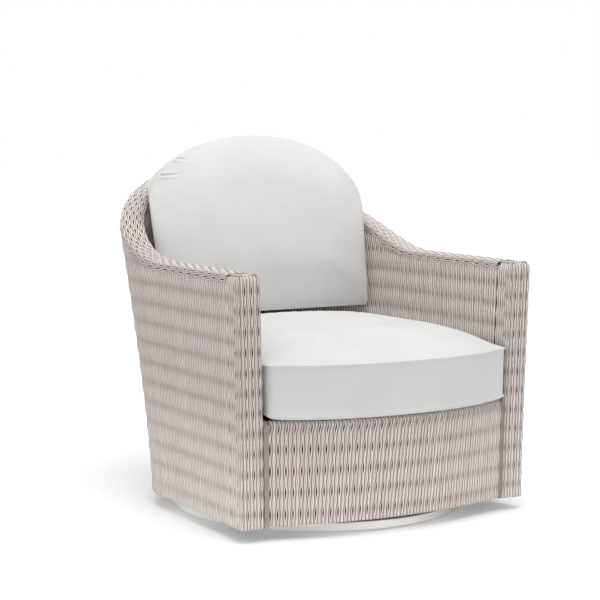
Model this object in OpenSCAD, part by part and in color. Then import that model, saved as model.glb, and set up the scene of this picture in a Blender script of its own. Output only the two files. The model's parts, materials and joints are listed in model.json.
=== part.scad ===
// Outdoor woven swivel rocker: a wrapped barrel shell with two loose cushions. It rocks on a sprung pivot
// shaft and turns on a ball-bearing plate over a low round base. The front faces -Y, X is across, Z is up.
// Every module is drawn about the swivel axis, and centred() then moves it to the middle of the chair's box.

/* [Shell outline] */
// Width across the arms at the rail
arm_span = 838; // [800:1:860]
// Width across the shell at its bottom edge
foot_span = 812; // [800:1:830]
// Swivel axis to the fronts of the arms, at the rail
arm_front = 355; // [345:1:370]
// Swivel axis to the fronts of the arms, at the bottom edge
foot_front = 347; // [342:1:356]
// Swivel axis back to where the arms start to curve, at the rail
arm_straight = 199; // [180:1:215]
// Swivel axis back to where the shell starts to curve, at its bottom edge
foot_straight = 99; // [92:1:120]
// Depth of the curved back, at the rail
rail_curve_depth = 390; // [370:1:405]
// Depth of the curved back, at the bottom edge
foot_curve_depth = 298; // [296:1:310]
// Squareness of the curved back, where 2 is an ellipse
squareness = 2.4; // [2.2:0.1:2.8]
// Squareness of the shell's bottom edge
foot_squareness = 2.1; // [2:0.1:2.6]
// Flare of the wall, where 1 is a straight line from the bottom edge to the rail
flare = 1.3; // [1:0.05:1.5]

/* [Shell heights] */
// Floor to the top of the rail on the arms
arm_height = 636; // [610:1:660]
// Floor to the top of the rail at the middle of the back
back_height = 861; // [820:1:900]
// Gap between the skirt and the floor
skirt_gap = 32; // [31:1:36]
// Length of rail that stays level, from an arm's front
level_arm = 447; // [420:1:480]
// Length of rail that stays level, on each side of the back's middle
level_back = 77; // [40:1:120]

/* [Woven walls] */
// Thickness of a woven wall
weave_t = 6; // [4:0.5:8]
// Height of one row of the outer wall's weave
weave_row = 25; // [24:1:30]
// How far the outer wall's face dips between its raised floats
weave_dip = 2.6; // [1:0.1:3]
// Width of the rail and of the arms
rail_w = 66; // [62:1:72]
// Height of the rail's woven cap
cap_h = 24; // [22:1:28]
// Thickness of the cap over the frame tube
cap_web = 12; // [8:1:13]
// Width of the cap's rims, which hang over the walls
cap_rim = 10; // [8:1:12]
// Width of an arm's front post
post_w = 64; // [60:1:66]
// Radius of a front post's corners
post_r = 9; // [8:1:12]
// How far the front skirt's ends stand behind the posts' fronts
skirt_set_back = 7; // [5:1:10]
// How far the front skirt bows out at its bottom edge
skirt_bow_foot = 58; // [55:1:62]
// How far the front skirt bows out at its top edge
skirt_bow_top = 93; // [88:1:100]
// Width of the plain strip at each end of the front skirt
edge_strip_w = 11; // [8:1:14]

/* [Frame tubes] */
// Diameter of the round frame tubes
tube_d = 20; // [16:1:21]
// Side of the square tubes in the arm posts and under the seat
square_tube = 30; // [28:1:32]
// Wall of the square tubes
tube_wall = 2; // [1.5:0.5:3]
// Distance from the shell's outside to the middle of the frame tubes
frame_inset = 30; // [29:1:31]
// Floor to the middle of the bottom hoop
hoop_height = 72; // [68:1:84]
// Number of uprights between the hoop and the rail
uprights = 7; // [5:2:9]

/* [Seat deck] */
// Floor to the top of the deck straps
deck_height = 285.6; // [280:0.2:300]
// Width of a deck strap
strap_w = 48; // [38:1:56]
// Thickness of a deck strap
strap_t = 2; // [1.5:0.5:2.5]
// Straps that run from side to side
straps_across_n = 5; // [4:1:5]
// Straps that run from front to back
straps_along_n = 6; // [4:1:7]

/* [Seat cushion] */
// Thickness of the box cushion from its base to its top seam
seat_box_h = 134; // [120:1:145]
// Rise of the crown above the top seam
seat_crown = 58; // [45:1:64]
// Gap between the seat cushion and the arms
seat_side_gap = 6; // [5:1:12]
// How far the cushion's front stands ahead of the skirt
seat_front_lip = 3; // [0:1:8]

/* [Back cushion] */
// Width of the back cushion
back_cushion_w = 646; // [620:1:650]
// Height of the back cushion
back_cushion_h = 477; // [450:1:490]
// Height of its straight sides, where its dome starts
back_dome_start = 230; // [190:1:260]
// Squareness of its dome
dome_power = 2.3; // [2:0.1:2.8]
// Depth from its back to its front seam
back_cushion_t = 150; // [140:1:156]
// Rise of its crown in front of the seam
back_crown = 38; // [30:1:44]
// How far it leans back over its height
back_lean = 112; // [104:1:118]
// Swivel axis to its front seam, at its base
back_cushion_front = 252; // [246:1:256]
// Radius of its bottom corners
back_corner_r = 60; // [40:1:80]
// Gap between its sides and the woven shell
back_gap = 4; // [3:1:8]
// How much wider its back gets above the rail
over_rail = 120; // [80:5:140]
// Height below the rail's back where it starts to widen
widen_below = 75; // [60:1:90]

/* [Base] */
// Outside diameter of the base ring
ring_d = 752; // [700:2:756]
// Width of the base ring's tube
ring_tube_w = 20; // [16:1:24]
// Height of the base ring's tube
ring_tube_h = 22; // [18:1:22]
// Radius of the tube's edges
ring_edge_r = 3; // [2:0.5:4]
// Diameter of a floor glide
glide_d = 16; // [12:1:16]
// Height of a floor glide
glide_h = 3; // [2:0.5:3]
// Number of floor glides
glides = 8; // [6:2:12]
// Width of the cross tubes
cross_w = 32; // [28:1:40]
// Height of the cross tubes
cross_h = 16; // [12:1:18]
// Diameter of the hub plate
hub_d = 220; // [214:2:236]
// Thickness of the hub plate
hub_t = 5; // [4:0.5:6]

/* [Swivel bearing] */
// Diameter of the bearing's balls
ball_d = 8; // [7:0.5:9]
// Number of balls
balls = 18; // [12:1:24]
// Pitch diameter of the ball track
track_d = 164; // [150:2:176]
// Width of a bearing race
race_w = 20; // [18:1:24]
// Thickness of a bearing race
race_t = 7; // [6:0.5:8]
// Diameter of the king pin
king_d = 16; // [14:1:18]
// Running clearance of shafts, balls and bushes
run_fit = 0.05; // [0.03:0.01:0.08]

/* [Rocker mechanism] */
// Floor to the pivot shaft
pivot_height = 150; // [140:1:156]
// Diameter of the pivot shaft
pivot_d = 16; // [14:1:18]
// Distance between the middles of the pivot brackets
bracket_span = 220; // [210:1:230]
// Thickness of the swivel plate, brackets, ears and rocker plate
plate_t = 6; // [5:0.5:7]
// Depth of the swivel plate and rocker plate
plate_depth = 240; // [228:1:260]
// Width of the swivel plate
plate_w = 300; // [296:1:320]
// Largest rock each way, in degrees
rock_max = 4; // [3:0.1:4]
// Side of the rails between the rocker plate and the seat bars
rail_tube = 30; // [26:1:32]
// Distance from the swivel axis to the middle of each rail
rail_reach = 92; // [86:1:98]

/* [Coil springs] */
// Mean diameter of a coil
coil_d = 44; // [40:1:48]
// Diameter of the spring wire
wire_d = 6; // [5:0.5:6.5]
// Turns in a spring
coil_turns = 7; // [5:0.5:8]
// Distance from the swivel axis to a spring, across
spring_x = 58; // [54:1:62]
// Distance from the swivel axis to a spring, front to back
spring_y = 84; // [80:1:88]
// Depth of a spring cup
cup_h = 8; // [6:1:12]

/* [Fasteners] */
// Diameter of the bolts
bolt_d = 8; // [6:1:8]
// Height of a bolt head or nut
head_h = 5; // [4:0.5:6]

/* [Hidden] */

// Colours
weave_colour = [0.80, 0.76, 0.72];
strip_colour = [0.62, 0.57, 0.50];
cloth_colour = [0.93, 0.93, 0.92];
cream_metal = [0.84, 0.83, 0.79];
grey_metal = [0.55, 0.56, 0.57];
dark_metal = [0.22, 0.22, 0.23];
bright_metal = [0.78, 0.79, 0.80];
nylon = [0.90, 0.89, 0.84];
rubber = [0.10, 0.10, 0.10];
webbing = [0.25, 0.25, 0.25];

// Clearance between pieces of the shell that meet
meet = 0.3;
// Clearance of a piece held in its bore
held = 0.02;
// How far a cut runs past what it cuts
over = 1;
// Facets on a round tube, and on round holes and pins
tube_sides = 8;
$fn = 48;

// Stations along a side of the shell and along its curved back
side_steps = 8;
curve_steps = 16;
wall_steps = 5;

// Shell derived sizes
last = 2 * (side_steps + curve_steps) + 2;
mid = last / 2;

// Points of one plan outline of the shell, from the right arm's front round the back to the left arm's
function half_plan(w, front, straight, depth, n) = concat(
    [[w, -front], [w, -front + post_w]],
    [for (i = [1:side_steps]) [w, -front + post_w + (straight + front - post_w) * i / side_steps]],
    [for (i = [1:curve_steps]) let (a = 90 * i / curve_steps)
        [w * pow(max(cos(a), 0), 2 / n), straight + depth * pow(sin(a), 2 / n)]]);
function flip_x(list) = [for (i = [len(list) - 2:-1:0]) [-list[i].x, list[i].y]];
function whole_plan(w, front, straight, depth, n) =
    let (h = half_plan(w, front, straight, depth, n)) concat(h, flip_x(h));
foot_plan = whole_plan(foot_span / 2, foot_front, foot_straight, foot_curve_depth, foot_squareness);
top_plan = whole_plan(arm_span / 2, arm_front, arm_straight, rail_curve_depth, squareness);

// Inward normals of a plan, square to the chord through its neighbours
function inward(plan) = [for (i = [0:len(plan) - 1])
    let (d = plan[min(i + 1, len(plan) - 1)] - plan[max(i - 1, 0)]) [-d.y, d.x] / norm(d)];
foot_in = inward(foot_plan);
top_in = inward(top_plan);

// Length of rail from the right arm's front to each station
rail_run = [for (i = 0, s = 0; i < len(top_plan);
    s = s + (i + 1 < len(top_plan) ? norm(top_plan[i + 1] - top_plan[i]) : 0), i = i + 1) s];
half_run = rail_run[mid];

// Height of the rail's top at a station: level, then one smooth rise, then level across the back
function ease(t) = let (u = max(0, min(1, t))) u * u * (3 - 2 * u);
function run_from_arm(i) = min(rail_run[i], 2 * half_run - rail_run[i]);
function rail_top(i) = arm_height + (back_height - arm_height)
    * ease((run_from_arm(i) - level_arm) / (half_run - level_back - level_arm));

// A point of the wall at a station, a height and a distance in from the outside; it flares up to the cap
function flared(z, top) = pow(max(min((z - skirt_gap) / (top - cap_h - skirt_gap), 1), 0), flare);
function rise(i, z) = flared(z, rail_top(i));
function mix(a, b, k) = a + (b - a) * k;
function wall_point(i, z, in) = let (k = rise(i, z),
    p = mix(foot_plan[i], top_plan[i], k) + mix(foot_in[i], top_in[i], k) * in) [p.x, p.y, z];

// The shell's half width, arm front, straight side and curve depth at a height of the arms
function arm_k(z) = flared(z, arm_height);
function half_width(z) = mix(foot_span, arm_span, arm_k(z)) / 2;
function front_at(z) = mix(foot_front, arm_front, arm_k(z));
function back_k(z) = flared(z, back_height);
function straight_at(z) = mix(foot_straight, arm_straight, back_k(z));
function curve_at(z) = mix(foot_curve_depth, rail_curve_depth, back_k(z));
function square_at(z) = mix(foot_squareness, squareness, back_k(z));

// The chair's box is centred on the origin, so all is drawn about the swivel axis and moved by this
seat_front_y = skirt_set_back - arm_front - skirt_bow_top - seat_front_lip;
frame_shift = -(arm_straight + rail_curve_depth + seat_front_y) / 2;
module centred() { translate([0, frame_shift, 0]) children(); }

// Triangles of a four-sided face
function two(a, b, c, d) = [[a, b, c], [a, c, d]];

// A closed solid from two matching grids of points, the outer one seen from outside
module slab(outer, inner) {
    n = len(outer); m = len(outer[0]); h = n * m;
    function o(i, j) = i * m + j;
    function p(i, j) = h + i * m + j;
    points = concat([for (r = outer, q = r) q], [for (r = inner, q = r) q]);
    sides = [for (i = [0:n - 2], j = [0:m - 2]) each concat(
        two(o(i, j), o(i, j + 1), o(i + 1, j + 1), o(i + 1, j)),
        two(p(i + 1, j), p(i + 1, j + 1), p(i, j + 1), p(i, j)))];
    ends = [for (j = [0:m - 2]) each concat(
        two(o(0, j + 1), o(0, j), p(0, j), p(0, j + 1)),
        two(o(n - 1, j), o(n - 1, j + 1), p(n - 1, j + 1), p(n - 1, j)))];
    rims = [for (i = [0:n - 2]) each concat(
        two(o(i, 0), o(i + 1, 0), p(i + 1, 0), p(i, 0)),
        two(o(i + 1, m - 1), o(i, m - 1), p(i, m - 1), p(i + 1, m - 1)))];
    polyhedron(points, concat(sides, ends, rims), convexity = 10);
}

// A closed solid through a row of rings, each turning left about the way the row runs
function middle(ring) = [for (k = [0:2]) let (c = [for (p = ring) p[k]]) (max(c) + min(c)) / 2];
module loft(rings) {
    n = len(rings); m = len(rings[0]); first = n * m;
    function v(i, j) = i * m + j % m;
    sides = [for (i = [0:n - 2], j = [0:m - 1]) each
        two(v(i, j), v(i + 1, j), v(i + 1, j + 1), v(i, j + 1))];
    caps = [for (j = [0:m - 1]) each
        [[v(0, j), v(0, j + 1), first], [v(n - 1, j + 1), v(n - 1, j), first + 1]]];
    polyhedron(concat([for (r = rings, q = r) q], [middle(rings[0]), middle(rings[n - 1])]),
        concat(sides, caps), convexity = 10);
}

// A round bar of the frame along the shell, from station a to station b
function bar_ring(i, z, in, r) = [for (a = [0:tube_sides - 1])
    let (t = 360 * (a + 0.5) / tube_sides) wall_point(i, z, in + r * cos(t)) + [0, 0, r * sin(t)]];

// Mirrored copies and fours
module both_sides() { children(); mirror([1, 0, 0]) children(); }
module both_ends() { children(); mirror([0, 1, 0]) children(); }
module at_four(x, y) { for (sx = [-1, 1], sy = [-1, 1]) translate([sx * x, sy * y, 0]) children(); }

// Heights of the base and the bearing, from the floor up
ring_r = ring_d / 2;
ring_in = ring_r - ring_tube_w;
ring_top = glide_h + ring_tube_h;
cross_bottom = glide_h + (ring_tube_h - cross_h) / 2;
cross_top = cross_bottom + cross_h;
hub_top = cross_top + hub_t;
track_gap = 2;
ball_z = hub_top + race_t + track_gap / 2;
upper_race_z = ball_z + track_gap / 2;
swivel_z = upper_race_z + race_t;
swivel_top = swivel_z + plate_t;

// Heights of the seat, from the deck down
bar_top = deck_height - strap_t;
bar_z = bar_top - square_tube;
rail_z = bar_z - rail_tube;
rocker_z = rail_z - plate_t;
low_bar_top = bar_top - strap_t - meet;
front_bar_z = low_bar_top - tube_d / 2;
roll_r = tube_d / 2 + weave_t + 2 * meet;
seat_base_z = deck_height + meet;
seam_z = seat_base_z + seat_box_h;

// The ring is a flat-sided tube with softened edges
module base_ring() {
    color(cream_metal) centred() rotate_extrude($fn = 96) translate([ring_in, glide_h]) union() {
        translate([ring_edge_r, 0]) square([ring_tube_w - 2 * ring_edge_r, ring_tube_h]);
        translate([0, ring_edge_r]) square([ring_tube_w, ring_tube_h - 2 * ring_edge_r]);
        for (x = [ring_edge_r, ring_tube_w - ring_edge_r], z = [ring_edge_r, ring_tube_h - ring_edge_r])
            translate([x, z]) circle(ring_edge_r);
    }
}

module floor_glides() {
    color(nylon) centred() for (i = [0:glides - 1]) rotate(360 * (i + 0.5) / glides)
        translate([ring_r - ring_tube_w / 2, 0, 0]) cylinder(d = glide_d, h = glide_h, $fn = 24);
}

// A cross tube of rectangular section along +X from a to b, cut to the ring's inside
module cross_bar(a, b) {
    intersection() {
        difference() {
            translate([a, -cross_w / 2, cross_bottom]) cube([b - a, cross_w, cross_h]);
            translate([a - over, -cross_w / 2 + tube_wall, cross_bottom + tube_wall])
                cube([b - a + 2 * over, cross_w - 2 * tube_wall, cross_h - 2 * tube_wall]);
        }
        translate([0, 0, cross_bottom]) cylinder(r = ring_in, h = cross_h, $fn = 96);
    }
}

// Hub bolts stand on the cross tubes at this distance from the axis
hub_bolt_r = hub_d / 2 - bolt_d;
module hub_bolt_places() {
    for (a = [0:90:270]) rotate(a) translate([hub_bolt_r, 0, 0]) children();
}

module cross_tube() {
    color(cream_metal) centred() difference() {
        cross_bar(-ring_in, ring_in);
        for (s = [-1, 1]) translate([s * hub_bolt_r, 0, cross_bottom - over])
            cylinder(d = bolt_d + 2 * held, h = cross_h + 2 * over, $fn = 24);
    }
}

module spoke() {
    difference() {
        cross_bar(cross_w / 2, ring_in);
        translate([hub_bolt_r, 0, cross_bottom - over])
            cylinder(d = bolt_d + 2 * held, h = cross_h + 2 * over, $fn = 24);
    }
}
module front_spoke() { color(cream_metal) centred() rotate(-90) spoke(); }
module rear_spoke() { color(cream_metal) centred() rotate(90) spoke(); }

module hub_plate() {
    color(dark_metal) centred() translate([0, 0, cross_top]) difference() {
        cylinder(d = hub_d, h = hub_t, $fn = 72);
        translate([0, 0, -over]) cylinder(d = king_d + 2 * held, h = hub_t + 2 * over);
        hub_bolt_places() translate([0, 0, -over])
            cylinder(d = bolt_d + 2 * held, h = hub_t + 2 * over, $fn = 24);
    }
}

module hub_bolts() {
    color(bright_metal) centred() hub_bolt_places() {
        translate([0, 0, cross_bottom]) cylinder(d = bolt_d, h = hub_top - cross_bottom, $fn = 24);
        translate([0, 0, hub_top]) cylinder(d = 1.5 * bolt_d, h = head_h / 2, $fn = 24);
    }
}

// The ball track is a groove a little wider than the balls
module race(z) {
    difference() {
        translate([0, 0, z]) difference() {
            cylinder(d = track_d + race_w, h = race_t, $fn = 72);
            translate([0, 0, -over]) cylinder(d = track_d - race_w, h = race_t + 2 * over, $fn = 72);
        }
        translate([0, 0, ball_z]) rotate_extrude($fn = 72) translate([track_d / 2, 0])
            circle(ball_d / 2 + run_fit, $fn = 24);
    }
}
module lower_race() { color(bright_metal) centred() race(hub_top); }
module upper_race() { color(bright_metal) centred() race(upper_race_z); }

module bearing_balls() {
    color(bright_metal) centred() for (i = [0:balls - 1]) rotate(360 * i / balls)
        translate([track_d / 2, 0, ball_z]) sphere(d = ball_d, $fn = 24);
}

cage_t = track_gap - 2 * meet;
module bearing_cage() {
    color(nylon) centred() translate([0, 0, ball_z - cage_t / 2]) difference() {
        cylinder(d = track_d + 2 * ball_d, h = cage_t, $fn = 72);
        translate([0, 0, -over]) cylinder(d = track_d - 2 * ball_d, h = cage_t + 2 * over, $fn = 72);
        for (i = [0:balls - 1]) rotate(360 * i / balls) translate([track_d / 2, 0, -over])
            cylinder(d = ball_d + 2 * run_fit, h = cage_t + 2 * over, $fn = 24);
    }
}

// The king pin stands on the cross tube, and a washer and nut above the bush hold the seat down
bush_t = 3;
bush_flange_t = 2;
washer_t = 2.5;
washer_z = swivel_top + bush_flange_t + meet;
nut_h = king_d / 2;
module king_pin() {
    color(bright_metal) centred() translate([0, 0, cross_top])
        cylinder(d = king_d, h = washer_z + washer_t + nut_h + wire_d - cross_top);
}

module king_nut() {
    color(bright_metal) centred() difference() {
        union() {
            translate([0, 0, washer_z]) cylinder(d = 2.2 * king_d, h = washer_t);
            translate([0, 0, washer_z + washer_t]) cylinder(d = 1.8 * king_d, h = nut_h, $fn = 6);
        }
        translate([0, 0, washer_z - over]) cylinder(d = king_d + 2 * held, h = washer_t + nut_h + 2 * over);
    }
}

module swivel_bush() {
    color(nylon) centred() difference() {
        union() {
            translate([0, 0, swivel_z]) cylinder(d = king_d + 2 * bush_t, h = plate_t);
            translate([0, 0, swivel_top]) cylinder(d = 2 * king_d, h = bush_flange_t);
        }
        translate([0, 0, swivel_z - over])
            cylinder(d = king_d + 2 * run_fit, h = plate_t + bush_flange_t + 2 * over);
    }
}

// The brackets' feet are bolted to the swivel plate here
foot_w = 24;
bracket_x = bracket_span / 2;
foot_bolt_x = bracket_x + plate_t / 2 + foot_w / 2;
foot_bolt_y = plate_depth / 4;
module swivel_plate() {
    color(dark_metal) centred() difference() {
        rounded_plate(plate_w, plate_depth, swivel_z, plate_t);
        translate([0, 0, swivel_z - over]) {
            cylinder(d = king_d + 2 * bush_t + 2 * held, h = plate_t + 2 * over);
            at_four(foot_bolt_x, foot_bolt_y)
                cylinder(d = bolt_d + 2 * held, h = plate_t + 2 * over, $fn = 24);
        }
    }
}

// A flat plate with four round corners
corner_r = 18;
module rounded_plate(w, d, z, t) {
    translate([0, 0, z]) union() {
        translate([-w / 2 + corner_r, -d / 2, 0]) cube([w - 2 * corner_r, d, t]);
        translate([-w / 2, -d / 2 + corner_r, 0]) cube([w, d - 2 * corner_r, t]);
        at_four(w / 2 - corner_r, d / 2 - corner_r) cylinder(r = corner_r, h = t, $fn = 32);
    }
}

// A pivot bracket is a cheek with a shoulder for a bump stop at each end, and a foot that turns outwards
boss_wall = 14;
boss_r = pivot_d / 2 + boss_wall;
stop_w = 20;
stop_h = 24;
shoulder_z = rocker_z - stop_h;
shoulder_y = 62;
boss_share = 0.7;
module bracket() {
    difference() {
        union() {
            translate([bracket_x - plate_t / 2, 0, 0]) rotate([90, 0, 90]) linear_extrude(plate_t)
                polygon([[-plate_depth / 3, swivel_top], [plate_depth / 3, swivel_top],
                    [shoulder_y, shoulder_z], [shoulder_y - stop_w, shoulder_z], [boss_r, pivot_height],
                    [boss_r * boss_share, pivot_height + boss_r * boss_share],
                    [-boss_r * boss_share, pivot_height + boss_r * boss_share],
                    [-boss_r, pivot_height], [stop_w - shoulder_y, shoulder_z], [-shoulder_y, shoulder_z]]);
            translate([bracket_x + plate_t / 2, -plate_depth / 3, swivel_top])
                cube([foot_w, 2 * plate_depth / 3, plate_t / 2]);
        }
        translate([bracket_x - plate_t, 0, pivot_height]) rotate([0, 90, 0])
            cylinder(d = pivot_d + 2 * bush_t + 2 * held, h = 2 * plate_t);
        for (s = [-1, 1]) translate([foot_bolt_x, s * foot_bolt_y, swivel_top - over])
            cylinder(d = bolt_d + 2 * held, h = plate_t, $fn = 24);
    }
}
module right_bracket() { color(dark_metal) centred() bracket(); }
module left_bracket() { color(dark_metal) centred() mirror([1, 0, 0]) bracket(); }

module bracket_bolts() {
    color(bright_metal) centred() at_four(foot_bolt_x, foot_bolt_y) {
        translate([0, 0, swivel_z]) cylinder(d = bolt_d, h = 1.5 * plate_t, $fn = 24);
        translate([0, 0, swivel_top + plate_t / 2]) cylinder(d = 1.6 * bolt_d, h = head_h, $fn = 6);
    }
}

module pivot_bushes() {
    color(nylon) centred() both_sides() translate([bracket_x, 0, pivot_height]) rotate([0, 90, 0])
        difference() {
            union() {
                translate([0, 0, -plate_t / 2]) cylinder(d = pivot_d + 2 * bush_t, h = plate_t);
                translate([0, 0, -plate_t / 2 - bush_flange_t])
                    cylinder(d = pivot_d + 4 * bush_t, h = bush_flange_t);
            }
            translate([0, 0, -plate_t]) cylinder(d = pivot_d + 2 * run_fit, h = 2 * plate_t);
        }
}

// Rubber stops on the brackets' shoulders meet the rocker plate at the end of each rock
stop_x = bracket_x;
stop_top = rocker_z - (shoulder_y + stop_w / 2) * sin(rock_max) - 2 * meet;
module bump_stops() {
    color(rubber) centred() at_four(stop_x, shoulder_y - stop_w / 2)
        translate([0, 0, shoulder_z]) cylinder(d1 = stop_w, d2 = 0.7 * stop_w, h = stop_top - shoulder_z);
}

// Spring cups, open towards the spring
cup_t = 3;
cup_clear = 2;
cup_r = coil_d / 2 + wire_d / 2 + cup_clear;
module cup() {
    difference() {
        cylinder(r = cup_r + cup_t / 2, h = cup_h);
        translate([0, 0, cup_t]) cylinder(r = cup_r, h = cup_h);
    }
}
module lower_cups() {
    color(grey_metal) centred() at_four(spring_x, spring_y) translate([0, 0, swivel_top]) cup();
}
module upper_cups() {
    color(grey_metal) centred() at_four(spring_x, spring_y)
        translate([0, 0, rocker_z]) mirror([0, 0, 1]) cup();
}

// A spring is one tube whose end turns lie close, with the rest spread over what is left of its height
spring_z = swivel_top + cup_t + meet;
spring_h = rocker_z - cup_t - meet - spring_z;
close_gap = 0.9;
close_pitch = wire_d + close_gap;
open_pitch = (spring_h - wire_d - 2 * close_pitch) / (coil_turns - 2);
turn_rings = 8;
wire_sides = 6;
function coil_z(t) = t < 1 ? close_pitch * t : t < coil_turns - 1 ? close_pitch + open_pitch * (t - 1)
    : spring_h - wire_d - close_pitch * (coil_turns - t);
function coil_point(t) = [coil_d / 2 * cos(360 * t), coil_d / 2 * sin(360 * t), wire_d / 2 + coil_z(t)];
coil_path = [for (i = [0:turn_rings * coil_turns]) coil_point(i / turn_rings)];
coil_gap = min([for (i = [0:len(coil_path) - turn_rings - 2], k = [-1:1])
    norm(coil_path[i + turn_rings + k] - coil_path[i])]) - wire_d;
echo(str("Least gap between the turns of a spring, in mm: ", coil_gap));
module spring() {
    loft([for (i = [0:len(coil_path) - 1]) let (t = 360 * i / turn_rings, c = coil_path[i])
        [for (a = [0:wire_sides - 1]) let (u = 360 * a / wire_sides)
            c + wire_d / 2 * (cos(u) * [cos(t), sin(t), 0] - [0, 0, sin(u)])]]);
}
module front_springs() {
    color(grey_metal) centred() both_sides() translate([spring_x, -spring_y, spring_z]) spring();
}
module rear_springs() {
    color(grey_metal) centred() both_sides() translate([spring_x, spring_y, spring_z]) spring();
}

// The rocker's ears hang from its plate just inside the brackets
ear_x = bracket_x - plate_t - bush_flange_t - meet;
collar_w = 8;
shaft_end = 2;
shaft_l = 2 * (bracket_x + plate_t / 2 + meet + collar_w + shaft_end);
module pivot_shaft() {
    color(bright_metal) centred() translate([-shaft_l / 2, 0, pivot_height]) rotate([0, 90, 0])
        cylinder(d = pivot_d, h = shaft_l);
}

module shaft_collars() {
    color(grey_metal) centred() both_sides()
        translate([bracket_x + plate_t / 2 + meet, 0, pivot_height]) rotate([0, 90, 0]) difference() {
            cylinder(d = 1.8 * pivot_d, h = collar_w);
            translate([0, 0, -over]) cylinder(d = pivot_d + 2 * held, h = collar_w + 2 * over);
        }
}

module rocker_ears() {
    color(dark_metal) centred() both_sides()
        translate([ear_x - plate_t / 2, 0, 0]) rotate([90, 0, 90]) linear_extrude(plate_t) difference() {
            union() {
                translate([0, pivot_height]) circle(boss_r);
                polygon([[-boss_r, pivot_height], [boss_r, pivot_height],
                    [2 * boss_r, rocker_z], [-2 * boss_r, rocker_z]]);
            }
            translate([0, pivot_height]) circle(d = pivot_d + 2 * held);
        }
}

// The rocker plate covers the ears and cups, and has a round hole over the king pin
rail_bolt_out = 22;
rail_bolt_x = bracket_x + rail_bolt_out;
rocker_w = 2 * (rail_bolt_x + corner_r);
module rocker_plate() {
    color(dark_metal) centred() difference() {
        rounded_plate(rocker_w, plate_depth, rocker_z, plate_t);
        translate([0, 0, rocker_z - over]) {
            cylinder(d = plate_depth / 3, h = plate_t + 2 * over);
            at_four(rail_bolt_x, rail_reach)
                cylinder(d = bolt_d + 2 * held, h = plate_t + 2 * over, $fn = 24);
        }
    }
}

// Two square tubes on the rocker plate reach out to the seat bars
bar_inset = frame_inset + tube_d / 2 + meet;
deck_rail_x = half_width(bar_z) - bar_inset;
module deck_rail(side) {
    translate([0, side * rail_reach, rail_z]) difference() {
        translate([-deck_rail_x, -rail_tube / 2, 0]) cube([2 * deck_rail_x, rail_tube, rail_tube]);
        translate([-deck_rail_x - over, -rail_tube / 2 + tube_wall, tube_wall])
            cube([2 * (deck_rail_x + over), rail_tube - 2 * tube_wall, rail_tube - 2 * tube_wall]);
        for (s = [-1, 1]) translate([s * rail_bolt_x, 0, -over])
            cylinder(d = bolt_d + 2 * held, h = rail_tube + 2 * over, $fn = 24);
    }
}
module front_rail() { color(grey_metal) centred() deck_rail(-1); }
module rear_rail() { color(grey_metal) centred() deck_rail(1); }

module rail_bolts() {
    color(bright_metal) centred() at_four(rail_bolt_x, rail_reach) {
        translate([0, 0, rocker_z - head_h]) cylinder(d = 1.6 * bolt_d, h = head_h, $fn = 6);
        translate([0, 0, rocker_z]) cylinder(d = bolt_d, h = plate_t + rail_tube, $fn = 24);
        translate([0, 0, rail_z + rail_tube]) cylinder(d = 1.6 * bolt_d, h = head_h, $fn = 24);
    }
}

// Seat bars run beside the arms, and the rear one follows the back
post_tube_in = frame_inset - square_tube / 2;
post_tube_rear = post_w / 2 + square_tube / 2;
function bar_x(z) = half_width(z) - bar_inset;
side_bar_front = -front_at(bar_z) + post_tube_rear + meet;
side_bar_rear = straight_at(bar_z);
module seat_bar() {
    difference() {
        translate([bar_x(bar_z) - square_tube, side_bar_front, bar_z])
            cube([square_tube, side_bar_rear - side_bar_front, square_tube]);
        translate([bar_x(bar_z) - square_tube + tube_wall, side_bar_front - over, bar_z + tube_wall])
            cube([square_tube - 2 * tube_wall, side_bar_rear - side_bar_front + 2 * over,
                square_tube - 2 * tube_wall]);
    }
}
module right_seat_bar() { color(grey_metal) centred() seat_bar(); }
module left_seat_bar() { color(grey_metal) centred() mirror([1, 0, 0]) seat_bar(); }

// The rear bar's plan: its outside follows the wall, and its ends meet the side bars
function rear_bar_point(a, in) = let (w = bar_x(bar_z) - in, d = curve_at(bar_z) - bar_inset - in)
    [w * sign(cos(a)) * pow(abs(cos(a)), 2 / square_at(bar_z)),
        side_bar_rear + meet + d * pow(max(sin(a), 0), 2 / square_at(bar_z))];
rear_bar_steps = 24;
module rear_seat_bar() {
    color(grey_metal) centred() loft([for (i = [0:rear_bar_steps]) let (a = 180 * i / rear_bar_steps,
        p = rear_bar_point(a, 0), q = rear_bar_point(a, square_tube), z = bar_z)
        [[p.x, p.y, z], [q.x, q.y, z], [q.x, q.y, low_bar_top], [p.x, p.y, low_bar_top]]]);
}

// The front skirt's outside at a height, across the chair; u runs from -1 at the left to 1 at the right
function skirt_half(z) = half_width(z) - post_w;
function skirt_bow(z) = mix(skirt_bow_foot, skirt_bow_top, min((z - skirt_gap) / (skirt_top - skirt_gap), 1));
function skirt_y(u, z) = skirt_set_back - front_at(z) - skirt_bow(z) * (1 - u * u);

// The skirt rolls back over the front bar, in steps of depth and height
skirt_top = front_bar_z;
roll_steps = 4;
skirt_levels = [for (j = [0:4]) mix(skirt_gap, skirt_top, j / 4)];
function skirt_path(u, r) = let (in = roll_r - r) concat(
    [for (z = skirt_levels) [skirt_half(z) * u, skirt_y(u, z) + in, z]],
    [for (j = [1:roll_steps]) let (a = 90 * j / roll_steps) [skirt_half(skirt_top) * u,
        skirt_y(u, skirt_top) + roll_r - r * cos(a), skirt_top + r * sin(a)]]);
skirt_steps = 24;
module skirt_piece(u0, u1, steps) {
    us = [for (i = [0:steps]) mix(u0, u1, i / steps)];
    slab([for (u = us) skirt_path(u, roll_r)], [for (u = us) skirt_path(u, roll_r - weave_t)]);
}
strip_u = 1 - edge_strip_w / skirt_half(skirt_gap);
gap_u = meet / skirt_half(skirt_gap);
module front_skirt() { color(weave_colour) centred() skirt_piece(-strip_u, strip_u, skirt_steps); }
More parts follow.
